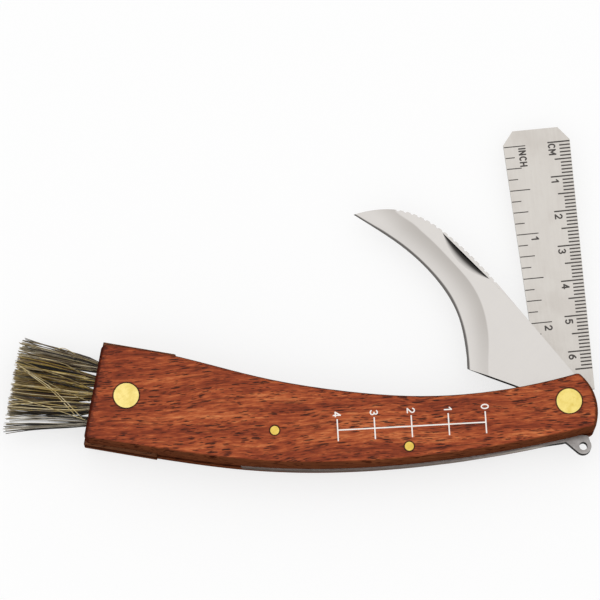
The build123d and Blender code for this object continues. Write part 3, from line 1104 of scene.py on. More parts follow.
def frame_at(x: float, y: float, z: float, turn: float) -> Matrix:
    """Frame at a place in metres, turned about Z by an angle in radians."""
    return Matrix.Translation((x, y, z)) @ Matrix.Rotation(turn, 4, "Z")


def butt_corners() -> tuple[Vector, Vector]:
    """Lowest and highest corner of the block's butt."""
    corners = [v.co.copy() for v in frame["nodes"]["brush_block"].data.vertices]
    return min(corners, key=lambda c: c.x), max(corners, key=lambda c: c.y)


def open_angle(joint_name: str) -> float:
    """Angle, in radians, that a joint's piece has turned from fully open at rest."""
    joint = next(j for j in frame["joints"] if j["name"] == joint_name)
    return -math.radians(joint["range_deg"][0])


def arc(cx: float, cy: float, rx: float, ry: float, start_deg: float, end_deg: float) -> Stroke:
    """Points along an upright ellipse, evenly spaced by angle, in shares of the letter's height."""
    turns = [math.radians(start_deg + (end_deg - start_deg) * i / ARC_STEPS) for i in range(ARC_STEPS + 1)]
    return tuple((cx + rx * math.cos(turn), cy + ry * math.sin(turn)) for turn in turns)


LETTER_STROKES: dict[str, tuple[Stroke, ...]] = {
    "0": (arc(0.3, 0.5, 0.3, 0.5, 0, 360),),
    "1": (((0.0, 0.72), (0.3, 1.0), (0.3, 0.0)),),
    "2": (arc(0.31, 0.7, 0.29, 0.3, 165, -35) + ((0.0, 0.0), (0.62, 0.0)),),
    "3": (arc(0.29, 0.76, 0.26, 0.24, 150, -90) + arc(0.29, 0.27, 0.3, 0.27, 80, -150),),
    "4": (((0.64, 0.28), (0.0, 0.28), (0.46, 1.0), (0.46, 0.0)),),
    "5": (((0.56, 1.0), (0.1, 1.0), (0.05, 0.54)) + arc(0.29, 0.32, 0.3, 0.32, 125, -145),),
    "6": (arc(0.3, 0.3, 0.3, 0.3, 0, 360), arc(0.62, 0.3, 0.62, 0.7, 180, 105)),
    "C": (arc(0.32, 0.5, 0.32, 0.5, 48, 312),),
    "H": (((0.0, 0.0), (0.0, 1.0)), ((0.58, 0.0), (0.58, 1.0)), ((0.0, 0.5), (0.58, 0.5))),
    "I": (((0.0, 0.0), (0.0, 1.0)),),
    "M": (((0.0, 0.0), (0.0, 1.0), (0.38, 0.3), (0.76, 1.0), (0.76, 0.0)),),
    "N": (((0.0, 0.0), (0.0, 1.0), (0.58, 0.0), (0.58, 1.0)),),
}


@dataclass(frozen=True)
class Lettering:
    """Plain letters and figures of even strokes with round ends, as thin solids."""

    height: float
    stroke: float
    thickness: float
    gap_share: float = 0.26
    end_steps: int = 6
    layer: float = 0.002 * MM
    layers: int = 5
    sharp_deg: float = 40.0

    def sides(self, points: list[Vector], closed: bool) -> tuple[list[Vector], list[Vector]]:
        """Both sides of a stroke, mitred at its corners.

        Args:
            points: the middle of the stroke.
            closed: whether its end meets its start.

        Returns:
            The points to the left of each middle point, and those to the right.
        """
        left = []
        right = []
        for index, point in enumerate(points):
            legs = []
            if index or closed:
                legs.append((point - points[index - 1]).normalized())
            if index + 1 < len(points) or closed:
                legs.append((points[(index + 1) % len(points)] - point).normalized())
            heading = sum(legs, Vector((0.0, 0.0))).normalized()
            side = Vector((-heading.y, heading.x)) * (self.stroke / 2 / heading.dot(legs[0]))
            left.append(point + side)
            right.append(point - side)
        return left, right

    def runs(self, points: list[Vector]) -> list[list[Vector]]:
        """Split a stroke at its sharp corners, where two round ends make the join.

        Args:
            points: the middle of the stroke.

        Returns:
            The points of each run.
        """
        sharp = math.radians(self.sharp_deg)
        runs = [[points[0]]]
        for before, point, after in zip(points, points[1:], points[2:]):
            runs[-1].append(point)
            if (point - before).angle(after - point) > sharp:
                runs.append([point.copy()])
        runs[-1].append(points[-1])
        return runs

    def cap(self, centre: Vector, start: Vector) -> list[Vector]:
        """Points of a round end between its two sides, turning left from the first one."""
        turns = [math.pi * step / self.end_steps for step in range(1, self.end_steps)]
        return [centre + Matrix.Rotation(turn, 2) @ (start - centre) for turn in turns]

    def ribbon(self, work: bmesh.types.BMesh, points: list[Vector], level: float) -> None:
        """Add one stroke as a closed solid.

        Args:
            work: the mesh that it goes into.
            points: the middle of the stroke.
            level: how far it is raised, so that no two strokes share a face.
        """
        closed = (points[0] - points[-1]).length < self.layer
        if closed:
            points = points[:-1]
        left, right = self.sides(points, closed)
        pairs = list(zip(left, right))
        cells = [(*a, *b[::-1]) for a, b in zip(pairs, pairs[1:])]
        if closed:
            cells.append((*pairs[-1], *pairs[0][::-1]))
            rims = [left, right]
        else:
            first = self.cap(points[0], left[0])
            last = self.cap(points[-1], right[-1])
            cells += [(left[0], *first, right[0]), (right[-1], *last, left[-1])]
            rims = [first + right + last + left[::-1]]
        low = {}
        high = {}
        for point in {id(p): p for cell in cells for p in cell}.values():
            low[id(point)] = work.verts.new((point.x, point.y, -self.thickness / 2))
            high[id(point)] = work.verts.new((point.x, point.y, self.thickness / 2 + level))
        for cell in cells:
            work.faces.new([high[id(p)] for p in cell])
            work.faces.new([low[id(p)] for p in reversed(cell)])
        for rim in rims:
            for a, b in zip(rim, rim[1:] + rim[:1]):
                work.faces.new((low[id(a)], low[id(b)], high[id(b)], high[id(a)]))

    def mesh(self, text: str, centred: bool = False) -> bpy.types.Mesh:
        """Write a text that stands on y = 0 and is centred on z = 0.

        Args:
            text: what it says.
            centred: whether x = 0 is its middle, and not its left side.

        Returns:
            The mesh.
        """
        tall = self.height - self.stroke
        strokes = []
        pen = 0.0
        for letter in text:
            placed = [[(pen + x, y) for x, y in stroke] for stroke in LETTER_STROKES[letter]]
            strokes += placed
            pen = max(x for stroke in placed for x, _ in stroke) + self.gap_share
        shift = (pen - self.gap_share) / 2 if centred else 0.0
        runs = []
        for stroke in strokes:
            points = [Vector(((x - shift) * tall, y * tall + self.stroke / 2)) for x, y in stroke]
            runs += self.runs(points)
        work = bmesh.new()
        for index, points in enumerate(runs):
            self.ribbon(work, points, (index % self.layers) * self.layer)
        mesh = bpy.data.meshes.new("letters")
        work.to_mesh(mesh)
        work.free()
        return mesh


def tick_row_tree() -> bpy.types.NodeTree:
    """Row of thin bars along -X whose lengths follow a ruler's rule.

    Returns:
        The geometry tree.
    """
    inputs = {"Count": 10, "Start": 0.0, "Step": MM, "Edge": 0.0, "Edge Slope": 0.0, "Side": 1.0}
    inputs |= {"Short": 3 * MM, "Quarter": 3 * MM, "Half": 4 * MM, "Long": 6 * MM}
    inputs |= {"Quarter Every": 2.0, "Half Every": 5.0, "Long Every": 10.0}
    inputs |= {"Width": 0.3 * MM, "Thickness": 0.04 * MM, "Material": None}
    sheet = Group("tick_row", "GeometryNodeTree", inputs)
    given = sheet.given
    index = sheet.add("GeometryNodeInputIndex")
    x = given["Start"] - index * given["Step"]
    y = given["Edge"] + x * given["Edge Slope"]
    length = given["Short"]
    for size in TICK_SIZES[1:]:
        rest = sheet.math("MODULO", index, given[size + " Every"])
        length = sheet.between(sheet.math("COMPARE", rest, 0.0, INDEX_SLACK), length, given[size])
    centre = sheet.combine(x, y + length * (given["Side"] * -0.5), 0.0)
    points = sheet.add("GeometryNodePoints", {"Count": given["Count"], "Position": centre})
    bar = sheet.add("GeometryNodeMeshCube", {"Size": (1.0, 1.0, 1.0)})
    size = sheet.combine(given["Width"], length, given["Thickness"])
    bars = sheet.add("GeometryNodeInstanceOnPoints", {"Points": points, "Instance": bar, "Scale": size})
    return sheet.close_solid(bars)


@dataclass(frozen=True)
class TuftShape:
    """How the strands of a tuft leave their round hole along -X and fan out."""

    turn_step: float = math.pi * (3 - math.sqrt(5))
    line_points: int = 9
    strand_sides: int = 5
    taper: Pair = (1.1, 0.75)
    flatness: float = 0.6
    calm_reach: float = 0.8
    wild_reach: float = 1.6
    wild_power: float = 5.0
    clump_size: float = 1.3 * MM
    clump_tone: float = 1.7
    tone_middle: float = 0.53
    tone_spread: float = 0.44

    def build(self) -> bpy.types.NodeTree:
        """Build the tree.

        Returns:
            The geometry tree. Its mesh carries each strand's tone and grey, and the reach along it.
        """
        inputs = {"Count": 100, "Seed": 1, "Hole Depth": 3 * MM, "Hole Radius": 1.36 * MM, "Length": 22 * MM}
        inputs |= {"Length Spread": 0.8 * MM, "Fan Shift": 0.0, "Fan Across": 2.9 * MM}
        inputs |= {"Fan Thickness": 2.1 * MM, "Stray": 1.0 * MM, "Bow": 0.8 * MM, "Radius": 0.12 * MM}
        inputs |= {"Radius Spread": 0.045 * MM, "Spread Power": 0.56, "Grey": 0.0, "Material": None}
        sheet = Group("bristle_tuft", "GeometryNodeTree", inputs)
        given = sheet.given
        index = sheet.add("GeometryNodeInputIndex")

        def random(salt: int, size: object) -> list[Signal]:
            """Draw three random numbers for each strand.

            Args:
                salt: what sets this draw apart from the others.
                size: the most that a number may be, either way.

            Returns:
                The three numbers.
            """
            values = {0: (-1.0,) * 3, 1: (1.0,) * 3, "ID": index, "Seed": given["Seed"] + float(salt)}
            vector = sheet.add("FunctionNodeRandomValue", values, data_type="FLOAT_VECTOR")
            return sheet.separate(sheet.scaled(vector, size))

        def stored(geometry: Signal, **rows: Signal) -> Signal:
            """Keep values on the points of a geometry.

            Args:
                geometry: the geometry.
                **rows: name to value.

            Returns:
                The geometry with its values.
            """
            for name, value in rows.items():
                values = {"Geometry": geometry, "Name": name, "Value": value}
                kind = "FLOAT_VECTOR" if name in STRAND_VECTORS else "FLOAT"
                settings = {"data_type": kind, "domain": "POINT"}
                geometry = sheet.add("GeometryNodeStoreNamedAttribute", values, **settings)
            return geometry

        def kept(name: str, kind: str = "FLOAT_VECTOR") -> Signal:
            """A value that was kept on the points."""
            return sheet.add("GeometryNodeInputNamedAttribute", {"Name": name}, data_type=kind)

        ring = sheet.math("SQRT", (index + 0.5) / given["Count"])
        turn = index * self.turn_step
        y = ring * sheet.math("COSINE", turn)
        z = ring * sheet.math("SINE", turn)
        root = sheet.combine(given["Hole Depth"], y * given["Hole Radius"], z * given["Hole Radius"])
        across = given["Fan Shift"] + y * given["Fan Across"]
        tip = sheet.combine(given["Length"] * -1.0, across, z * given["Fan Thickness"])
        ragged_x = random(1, given["Length Spread"])[0]
        wild = sheet.math("POWER", abs(random(6, 1.0)[0]), self.wild_power)
        reach = given["Stray"] * (wild * self.wild_reach + self.calm_reach)
        _, ragged_y, ragged_z = random(2, reach)
        tip = sheet.vector("ADD", tip, sheet.combine(ragged_x, ragged_y, ragged_z * self.flatness))
        _, bow_y, bow_z = random(3, given["Bow"])
        bow = sheet.combine(0.0, bow_y, bow_z * self.flatness)
        clump = sheet.noise(sheet.scaled(tip, 1 / self.clump_size), detail=1.0) - 0.5
        tone = random(4, self.tone_spread)[0] + self.tone_middle + clump * self.clump_tone
        tone = sheet.math("MINIMUM", sheet.highest(tone, 0.0), 1.0)
        thick = random(5, given["Radius Spread"])[0]
        points = sheet.add("GeometryNodePoints", {"Count": given["Count"]})
        points = stored(points, root=root, tip=tip, bow=bow, tone=tone, thick=thick)
        line = sheet.add("GeometryNodeCurvePrimitiveLine", {"End": (1.0, 0.0, 0.0)})
        line = sheet.add("GeometryNodeResampleCurve", {"Curve": line, "Count": self.line_points})
        strands = sheet.add("GeometryNodeInstanceOnPoints", {"Points": points, "Instance": line})
        strands = sheet.add("GeometryNodeRealizeInstances", {"Geometry": strands})
        along = sheet.add("GeometryNodeSplineParameter", output="Factor")
        inside = given["Hole Depth"] / (given["Hole Depth"] + given["Length"])
        outside = sheet.highest((along - inside) / (1.0 - inside), 0.0)
        spread = sheet.math("POWER", outside, given["Spread Power"])
        ends = zip((along, spread, spread), sheet.separate(kept("root")), sheet.separate(kept("tip")))
        straight = sheet.combine(*[sheet.between(share, start, end) for share, start, end in ends])
        arch = sheet.math("SINE", outside * math.pi) * outside
        route = sheet.vector("ADD", straight, sheet.scaled(kept("bow"), arch))
        strands = sheet.add("GeometryNodeSetPosition", {"Geometry": strands, "Position": route})
        strands = stored(strands, reach=along, grey=given["Grey"])
        radius = (given["Radius"] + kept("thick", "FLOAT")) * sheet.between(along, *self.taper)
        ring = sheet.add("GeometryNodeCurvePrimitiveCircle", {"Resolution": self.strand_sides, "Radius": 1.0})
        profile = {"Curve": strands, "Profile Curve": ring, "Scale": radius, "Fill Caps": True}
        tubes = sheet.add("GeometryNodeCurveToMesh", profile)
        return sheet.close_solid(sheet.add("GeometryNodeSetShadeSmooth", {"Geometry": tubes}))


@dataclass
class Handle:
    """The two wooden scales with their fasteners, and the marks printed on the front one."""

    effects: Effects
    ticks: bpy.types.NodeTree
    scales: tuple[str, ...] = ("front_scale", "back_scale")
    pivot_nodes: tuple[str, ...] = ("pivot_rivet_front", "pivot_rivet_back")
    brush_nodes: tuple[str, ...] = ("brush_rivet_front", "brush_rivet_back")
    pin_nodes: tuple[str, ...] = ("rear_spring_pin", "centre_spring_pin")
    ring_gap: float = 0.08
    washer_nodes: tuple[str, ...] = ("washer_back", "washer_middle", "washer_front")
    print_start: Pair = (-22.6 * MM, -5.9 * MM)
    print_turn_deg: float = 3.16
    print_step: float = 10.0 * MM
    print_count: int = 5
    print_tick: float = 6.05 * MM
    print_width: float = 0.35 * MM
    print_thickness: float = 0.04 * MM
    figure_height: float = 2.25 * MM
    figure_stroke: float = 0.34 * MM
    figure_rise: float = 4.35 * MM

    def wood(self) -> bpy.types.Material:
        """Finish of the scales, with a dark ring round every fastener.

        Returns:
            The material.
        """
        rings = []
        for name in (self.pivot_nodes[0], self.brush_nodes[0], *self.pin_nodes):
            low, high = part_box(name)
            centre = middle(name) / MM
            rings.append(((centre.x, centre.y, 0.0), (high.x - low.x) / 2 / MM + self.ring_gap))
        low, high = butt_corners()
        finish = WoodFinish(
            "scale_wood_satin",
            stops=colour_stops(
                (0.38, 100, 41, 21),
                (0.45, 138, 58, 31),
                (0.50, 160, 73, 39),
                (0.55, 184, 92, 50),
                (0.64, 219, 131, 79),
            ),
            butt_corner=(low.x / MM, low.y / MM),
            butt_turn_deg=math.degrees(math.atan2(high.y - low.y, high.x - low.x)) - 90.0,
            rings=tuple(rings),
        )
        return finish.build(self.effects)

    def brass(self, name: str, colour: Colour, dull_colour: Colour) -> bpy.types.Material:
        """Finish of the rivets, pins and washers.

        Args:
            name: the finish's name.
            colour: the polished brass.
            dull_colour: the brass where hands have dulled it.

        Returns:
            The material.
        """
        finish = MetalFinish(
            name,
            colour=colour,
            dull_colour=dull_colour,
            line_deg=35.0,
            line_width=0.08,
            line_relief=0.001,
            handling=0.7,
            patch=2.4,
        )
        return finish.build(self.effects)

    def spring(self) -> bpy.types.Material:
        """Finish of the back spring.

        Returns:
            The material.
        """
        finish = SpringFinish(
            "spring_steel_satin",
            colour=screen_colour(200, 197, 195),
            dull_colour=screen_colour(148, 143, 140),
            edge_stops=colour_stops(
                (0.1, 84, 73, 66),
                (0.4, 96, 85, 78),
                (0.7, 120, 109, 101),
                (0.9, 168, 160, 152),
            ),
            roughness=0.34,
            line_deg=-6.0,
            handling=0.7,
        )
        return finish.build(self.effects)

    def print_frame(self) -> Matrix:
        """Frame of the printed scale: X along its line, Y up its ticks."""
        return frame_at(*self.print_start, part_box("front_scale")[1].z, math.radians(self.print_turn_deg))

    def print_lines(self, paint: bpy.types.Material) -> list[bpy.types.Mesh]:
        """The printed ticks, and the line that joins them.

        Args:
            paint: the printing.

        Returns:
            One mesh for the ticks and one for the line.
        """
        common = {"Thickness": self.print_thickness, "Material": paint, "Step": self.print_step}
        tick = {"Count": self.print_count, "Edge": self.print_tick / 2, "Width": self.print_width}
        gap = {"Count": self.print_count - 1, "Edge": self.print_width / 2, "Start": -self.print_step / 2}
        gap["Width"] = self.print_step - self.print_width
        lengths = {"row": self.print_tick, "line": self.print_width}
        return [
            grown_mesh(name, self.ticks, common | dict.fromkeys(TICK_SIZES, lengths[name]) | own)
            for name, own in (("row", tick), ("line", gap))
        ]

    def print_figures(self) -> list[bpy.types.Mesh]:
        """The printed figures, one beside each tick.

        Returns:
            One mesh for each.
        """
        lettering = Lettering(self.figure_height, self.figure_stroke, self.print_thickness)
        figures = [lettering.mesh(str(number), centred=True) for number in range(self.print_count)]
        for number, figure in enumerate(figures):
            spot = frame_at(-number * self.print_step, self.figure_rise, 0.0, -math.pi / 2)
            figure.transform(spot @ Matrix.Translation((0.0, -self.figure_height / 2, 0.0)))
        return figures

    def build(self) -> None:
        """Dress the handle and print its scale."""
        dress(self.scales, self.wood())
        brasses = (
            ("brass_pivot", self.pivot_nodes + self.washer_nodes, (242, 223, 140), (222, 196, 98)),
            ("brass_head", self.brush_nodes, (248, 228, 150), (228, 204, 112)),
            ("brass_pin", self.pin_nodes, (236, 208, 112), (212, 178, 76)),
        )
        for name, nodes, bright, dull in brasses:
            dress(nodes, self.brass(name, screen_colour(*bright), screen_colour(*dull)))
        dress(("back_spring",), self.spring())
        finish = MarkFinish(
            "print_white",
            colour=screen_colour(255, 252, 247),
            worn_colour=screen_colour(240, 220, 206),
            roughness=0.55,
        )
        white = finish.build(self.effects)
        prints = {"handle_print_lines": self.print_lines(white), "handle_print_figures": self.print_figures()}
        for name, parts in prints.items():
            add_piece(joined_mesh(name, parts, white, self.print_frame()), "handle")


@dataclass
class Blade:
    """The hooked blade."""

    effects: Effects

    def build(self) -> None:
        """Dress the blade."""
        low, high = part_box("blade")
        open_deg = math.degrees(open_angle("blade_pivot"))
        finish = BladeFinish(
            "blade_steel_satin",
            colour=screen_colour(210, 206, 202),
            dull_colour=screen_colour(206, 202, 198),
            line_deg=open_deg + 90.0,
            line_relief=0.0001,
            line_roughness=0.06,
            handling=0.15,
            # Painted shade on the blade's upright faces.
            side_colour=screen_colour(34, 33, 31),
            side_share=0.97,
            middle_level=(low.z + high.z) / 2 / MM,
            half_thickness=(high.z - low.z) / 2 / MM,
            open_deg=open_deg,
        )
        dress(("blade",), finish.build(self.effects))


@dataclass(frozen=True)
class MarkRow:
    """Marks of one unit along an edge of the ruler drawn fully open, and the lettering beside them."""

    side: Side
    unit_name: str
    unit: float
    zero: float
    edge: float
    slope: float
    count: int
    divisions: int
    half_every: int
    lengths: tuple[float, float, float, float]
    width: float
    name_gap: float
    figure_gap: float
    figures: int
    margin: float = 0.08 * MM
    thickness: float = 0.03 * MM
    stroke: float = 0.42 * MM
    figure_height: float = 2.22 * MM
    name_height: float = 2.15 * MM
    name_spacing: float = 0.4

    def edge_at(self, x: float) -> float:
        """Where the marks start, at a place along the ruler."""
        return self.edge + self.slope * x - self.side.value * self.margin

    def marks(self, tree: bpy.types.NodeTree, material: bpy.types.Material) -> bpy.types.Mesh:
        """The marks themselves.

        Args:
            tree: the tree that makes a row of them.
            material: the etching.

        Returns:
            Their mesh.
        """
        values = {
            "Count": self.count,
            "Start": self.zero,
            "Step": self.unit / self.divisions,
            "Edge": self.edge_at(0.0),
            "Edge Slope": self.slope,
            "Side": float(self.side.value),
            "Half Every": float(self.half_every),
            "Long Every": float(self.divisions),
            "Width": self.width,
            "Thickness": self.thickness,
            "Material": material,
        }
        return grown_mesh("marks", tree, values | dict(zip(TICK_SIZES, self.lengths)))

    def letters(self) -> list[bpy.types.Mesh]:
        """The unit's name before the first mark, and the figures before the long ones.

        Returns:
            One mesh for each.
        """
        figure = Lettering(self.figure_height, self.stroke, self.thickness)
        name = Lettering(self.name_height, self.stroke, self.thickness, gap_share=self.name_spacing)
        told = [(self.unit_name, self.name_gap, 0, name)]
        told += [(str(n), self.figure_gap, n, figure) for n in range(1, self.figures + 1)]
        meshes = []
        for text, gap, units, lettering in told:
            x = self.zero - units * self.unit - gap
            baseline = self.edge_at(x) - self.side.value * self.lengths[-1]
            if self.side is Side.LEFT:
                baseline += lettering.height
            mesh = lettering.mesh(text)
            mesh.transform(frame_at(x, baseline, 0.0, math.pi))
            meshes.append(mesh)
        return meshes


@dataclass
class Ruler:
    """The steel ruler with its etched centimetre and inch marks."""

    effects: Effects
    ticks: bpy.types.NodeTree
    centimetres: MarkRow = MarkRow(
        Side.RIGHT,
        "CM",
        unit=10.0 * MM,
        zero=75.25 * MM,
        edge=-7.99 * MM,
        slope=-0.0259,
        count=66,
        divisions=10,
        half_every=5,
        lengths=(3.0 * MM, 3.0 * MM, 4.65 * MM, 6.2 * MM),
        width=0.4 * MM,
        name_gap=0.6 * MM,
        figure_gap=0.95 * MM,
        figures=6,
    )
    inches: MarkRow = MarkRow(
        Side.LEFT,
        "INCH",
        unit=25.4 * MM,
        zero=75.0 * MM,
        edge=6.69 * MM,
        slope=0.0259,
        count=20,
        divisions=8,
        half_every=4,
        lengths=(2.62 * MM, 4.1 * MM, 5.55 * MM, 6.0 * MM),
        width=0.28 * MM,
        name_gap=0.8 * MM,
        figure_gap=1.1 * MM,
        figures=2,
    )

    def build(self) -> None:
        """Dress the ruler and etch its marks."""
        turn = open_angle("ruler_pivot")
        steel = MetalFinish(
            "ruler_steel_satin",
            colour=screen_colour(212, 208, 202),
            dull_colour=screen_colour(200, 193, 186),
            roughness=0.38,
            line_deg=math.degrees(turn),
            line_relief=0.0015,
            # Painted shade on the ruler's upright faces.
            side_colour=screen_colour(110, 108, 105),
            side_share=0.6,
        )
        dress(("ruler",), steel.build(self.effects))
        etching = MarkFinish(
            "etching_dark",
            colour=screen_colour(66, 61, 58),
            worn_colour=screen_colour(90, 84, 80),
            roughness=0.6,
        )
        dark = etching.build(self.effects)
        place = frame_at(0.0, 0.0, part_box("ruler")[1].z, turn)
        marks = [row.marks(self.ticks, dark) for row in (self.centimetres, self.inches)]
        letters = self.centimetres.letters() + self.inches.letters()
        for name, parts in (("ruler_marks", marks), ("ruler_figures", letters)):
            add_piece(joined_mesh(name, parts, dark, place), "ruler")


@dataclass(frozen=True)
class Tuft:
    """One tuft: its strands, how far they fan out, how grey they are and how late they spread."""

    strands: int
    fan: float = 2.9 * MM
    grey: float = 0.0
    spread_power: float = 0.56


@dataclass(frozen=True)
class Stray:
    """One bristle across the others: its tone, and its points as (out, across, up) in millimetres."""

    tone: float
    points: tuple[Triple, ...]


@dataclass
class Brush:
    """The block at the butt and the five tufts of bristle in it."""

    effects: Effects
    tufts: tuple[Tuft, ...] = (
        Tuft(38, fan=3.3 * MM, grey=0.85, spread_power=0.95),
        Tuft(118, grey=0.2, spread_power=0.7),
        Tuft(130),
        Tuft(130),
        Tuft(98, grey=0.45),
    )
    pitch: float = 3.8 * MM
    fan_pitch: float = 4.9 * MM
    lean: float = -1.3 * MM
    seed: int = 23
    seed_step: int = 10
    stray_radius: float = 0.1 * MM
    strays: tuple[Stray, ...] = (
        Stray(0.97, ((1.9, -7.2, 1.3), (9.9, -1.3, 2.0), (15.6, 1.4, 2.3), (21.4, 4.1, 2.5))),
        Stray(0.93, ((3.7, -6.9, 1.3), (9.2, -2.5, 1.9), (14.0, 0.2, 2.2), (20.0, 3.1, 2.4))),
        Stray(
            0.9, ((0.3, -7.6, 1.2), (5.1, -6.9, 1.7), (10.0, -6.1, 2.0), (15.6, -5.4, 2.2), (21.2, -4.9, 2.3))
        ),
        Stray(0.88, ((3.8, 4.7, 1.4), (7.3, 6.1, 1.8), (10.2, 6.9, 2.1), (16.4, 7.2, 2.3))),
        Stray(0.84, ((0.7, -2.3, 1.3), (6.9, -1.1, 1.8), (13.2, 0.8, 2.2), (19.2, 3.3, 2.5))),
        Stray(0.9, ((0.5, -2.9, 1.3), (7.4, -3.4, 1.9), (14.6, -5.2, 2.2), (21.6, -7.0, 2.4))),
        Stray(0.8, ((0.4, 1.2, 1.2), (8.0, 3.1, 1.8), (15.0, 3.9, 2.2), (21.8, 5.6, 2.4))),
        Stray(
            0.9, ((5.2, 9.6, 0.6), (8.3, 10.6, 0.7), (10.2, 11.3, 0.8), (11.6, 11.1, 0.8), (13.4, 10.3, 0.7))
        ),
        Stray(0.12, ((0.7, -9.1, 0.2), (8.0, -10.6, 0.3), (15.0, -12.3, 0.4), (22.3, -14.4, 0.4))),
        Stray(0.05, ((0.6, -8.7, 0.6), (8.0, -9.7, 0.8), (15.0, -11.2, 0.9), (22.5, -13.0, 0.9))),
        Stray(0.2, ((0.4, 8.9, 0.4), (8.0, 10.1, 0.5), (15.0, 11.1, 0.6), (21.3, 11.9, 0.6))),
        Stray(0.3, ((0.4, 8.5, 0.9), (7.0, 9.5, 1.1), (14.0, 10.3, 1.2), (20.8, 11.2, 1.2))),
    )

    def butt_frame(self) -> Matrix:
        """Find the frame at the middle of the block's butt.

        Returns:
            The frame: X into the handle, Y up along the butt.
        """
        low, high = butt_corners()
        across = high - low
        centre = (low + high) / 2
        turn = math.atan2(across.y, across.x) - math.pi / 2
        return frame_at(centre.x, centre.y, middle("brush_block").z, turn)

    def bristle(self) -> bpy.types.Material:
        """Finish of the bristles.

        Returns:
            The material.
        """
        stops = colour_stops(
            (0.00, 12, 8, 5),
            (0.24, 36, 24, 14),
            (0.33, 84, 54, 32),
            (0.43, 108, 84, 36),
            (0.55, 152, 124, 54),
            (0.67, 192, 164, 84),
            (0.76, 112, 94, 70),
            (0.86, 212, 190, 132),
            (1.00, 244, 230, 188),
        )
        greys = colour_stops(
            (0.00, 18, 16, 14),
            (0.30, 52, 48, 43),
            (0.52, 114, 108, 98),
            (0.76, 190, 182, 166),
            (1.00, 236, 230, 216),
        )
        return BristleFinish("bristle_natural", stops=stops, grey_stops=greys).build(self.effects)

    def add_tufts(self, material: bpy.types.Material, place: Matrix) -> None:
        """Grow the tufts in place of their solids.

        Args:
            material: the bristle finish.
            place: the butt's frame.
        """
        tree = TuftShape().build()
        for index, tuft in enumerate(self.tufts):
            step = index - (len(self.tufts) - 1) / 2
            values = {
                "Count": tuft.strands,
                "Grey": tuft.grey,
                "Spread Power": tuft.spread_power,
                "Fan Across": tuft.fan,
                "Seed": self.seed + self.seed_step * index,
                "Fan Shift": self.lean + step * (self.fan_pitch - self.pitch),
                "Material": material,
            }
            mesh = grown_mesh(f"tuft_strands_{index + 1}", tree, values)
            mesh.transform(place @ Matrix.Translation((0.0, step * self.pitch, 0.0)))
            for name in (*STRAND_VECTORS, "thick"):
                mesh.attributes.remove(mesh.attributes[name])
            piece = add_piece(mesh, "handle")
            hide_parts(f"bristle_tuft_{index + 1}")

    def stray_mesh(self, stray: Stray) -> bpy.types.Mesh:
        """Round rod along a stray bristle's points.

        Args:
            stray: the bristle.

        Returns:
            Its closed mesh.
        """
        curve = bpy.data.curves.new("stray", "CURVE")
        curve.dimensions = "3D"
        curve.bevel_depth = self.stray_radius
        curve.bevel_resolution = 1
        curve.resolution_u = 6
        curve.use_fill_caps = True
        spline = curve.splines.new("NURBS")
        spline.points.add(len(stray.points) - 1)
        for point, (out, across, up) in zip(spline.points, stray.points):
            point.co = (-out * MM, across * MM, up * MM, 1.0)
        spline.order_u = 3
        spline.use_endpoint_u = True
        mesh = plain_mesh(add_object("stray_host", curve))
        weld(mesh)
        return mesh

    def add_strays(self, material: bpy.types.Material, place: Matrix) -> None:
        """Lay the few bristles that cross the others.

        Args:
            material: the bristle finish.
            place: the butt's frame.
        """
        parts = [self.stray_mesh(stray) for stray in self.strays]
        whole = joined_mesh("stray_strands", parts, material, place)
        tones = [stray.tone for stray, part in zip(self.strays, parts) for _ in part.vertices]
        whole.attributes.new("tone", "FLOAT", "POINT").data.foreach_set("value", tones)
        whole.shade_smooth()
        add_piece(whole, "handle")

    def build(self) -> None:
        """Dress the block and grow the bristles."""
        stops = colour_stops((0.30, 92, 54, 34), (0.50, 118, 74, 48), (0.70, 144, 96, 64))
        wood = WoodFinish("block_wood_dark", stops=stops, side_share=0.2)
        wire = MetalFinish("anchor_wire_plain", roughness=0.4)
        dress(("brush_block",), wood.build(self.effects))
        dress(("tuft_anchors",), wire.build(self.effects))
        material = self.bristle()
        place = self.butt_frame()
        self.add_tufts(material, place)
        self.add_strays(material, place)


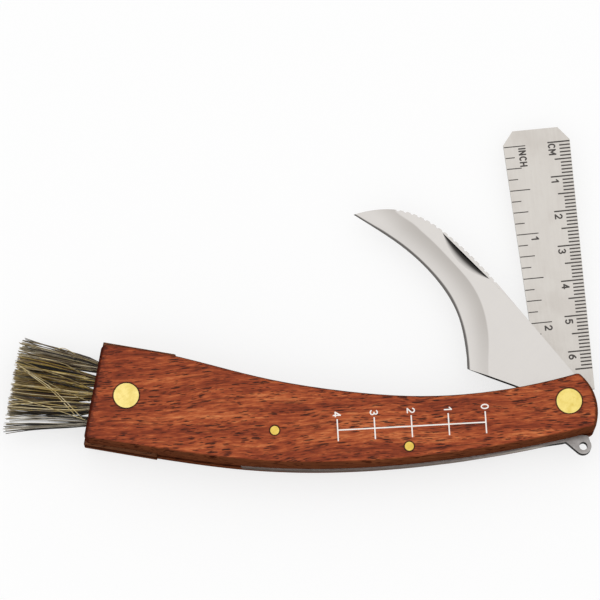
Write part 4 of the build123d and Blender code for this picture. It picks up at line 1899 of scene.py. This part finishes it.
@dataclass
class Studio:
    """Pale floor, soft light and the camera at the photograph's viewing angle."""

    effects: Effects
    tilt_deg: float = 14.5
    distance: float = 0.9
    focal_pixels: float = 3307.5
    picture_width: float = 600.0
    sensor: float = 36.0
    pivot_pixel: Pair = (569.3, 400.8)
    horizon_level: float = 0.72
    zenith_level: float = 0.92
    zenith_height: float = 0.8
    floor_size: float = 40.0
    floor_gap: float = 0.02 * MM
    lamp_aim: Triple = (-0.05, 0.0, 0.0)

    def add_camera(self) -> None:
        """Camera that sees the pivot's head at its pixel of the photograph."""
        tilt = math.radians(self.tilt_deg)
        data = bpy.data.cameras.new("camera")
        data.sensor_width = self.sensor
        data.lens = self.focal_pixels / self.picture_width * self.sensor
        camera = add_object("camera", data)
        camera.rotation_euler = (tilt, 0.0, 0.0)
        half = self.picture_width / 2
        right = (self.pivot_pixel[0] - half) / self.focal_pixels
        up = (half - self.pivot_pixel[1]) / self.focal_pixels
        ray = Matrix.Rotation(tilt, 3, "X") @ Vector((right, up, -1.0))
        head = middle("pivot_rivet_front")
        head.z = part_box("pivot_rivet_front")[1].z
        camera.location = head - ray * (self.distance * math.cos(tilt) / -ray.z)
        bpy.context.scene.camera = camera

    def add_softbox(self, name: str, place: Vector, size: Pair, level: float) -> None:
        """Area lamp that faces the object.

        Args:
            name: its name.
            place: where it stands.
            size: its width and height.
            level: how bright its face is, where 1 is white.
        """
        data = bpy.data.lights.new(name, "AREA")
        data.shape = "RECTANGLE"
        data.size, data.size_y = size
        data.energy = level * math.pi * size[0] * size[1]
        lamp = add_object(name, data)
        lamp.location = place
        lamp.rotation_euler = (Vector(self.lamp_aim) - place).to_track_quat("-Z", "Y").to_euler()

    def add_floor(self) -> None:
        """Pale floor that keeps the shadow and shows as near white."""
        mesh = bpy.data.meshes.new("floor")
        half = self.floor_size / 2
        corners = [(-half, -half, 0.0), (half, -half, 0.0), (half, half, 0.0), (-half, half, 0.0)]
        mesh.from_pydata(corners, [], [(0, 1, 2, 3)])
        mesh.materials.append(FloorFinish("floor_pale").build(self.effects))
        floor = add_object("floor", mesh)
        floor.location.z = cad_box[0].z - self.floor_gap

    def build(self) -> None:
        """Set the stage."""
        world = bpy.data.worlds.new("studio")
        bpy.context.scene.world = world
        world.use_nodes = True
        sheet = Sheet(world.node_tree)
        height = sheet.separate(sheet.add("ShaderNodeTexCoord", output="Generated"))[2]
        share = sheet.step(height, 0.0, self.zenith_height)
        strength = sheet.between(share, self.horizon_level, self.zenith_level)
        sheet.fill(world.node_tree.nodes["Background"], {"Color": WHITE, "Strength": strength})
        self.add_floor()
        self.add_softbox("overhead", Vector((-0.08, 0.36, 1.15)), (0.9, 0.6), 0.3)
        self.add_softbox("left_fill", Vector((-1.1, -0.3, 0.9)), (0.7, 0.7), 0.2)
        self.add_camera()
        bpy.context.scene.view_settings.view_transform = "Standard"


def main() -> None:
    """Build the knife and its stage."""
    logging.basicConfig(level=logging.INFO, format="%(name)s: %(message)s")
    effects = Effects()
    ticks = tick_row_tree()
    Handle(effects, ticks).build()
    Blade(effects).build()
    Ruler(effects, ticks).build()
    Brush(effects).build()
    Studio(effects).build()


if __name__ == "__main__":
    main()
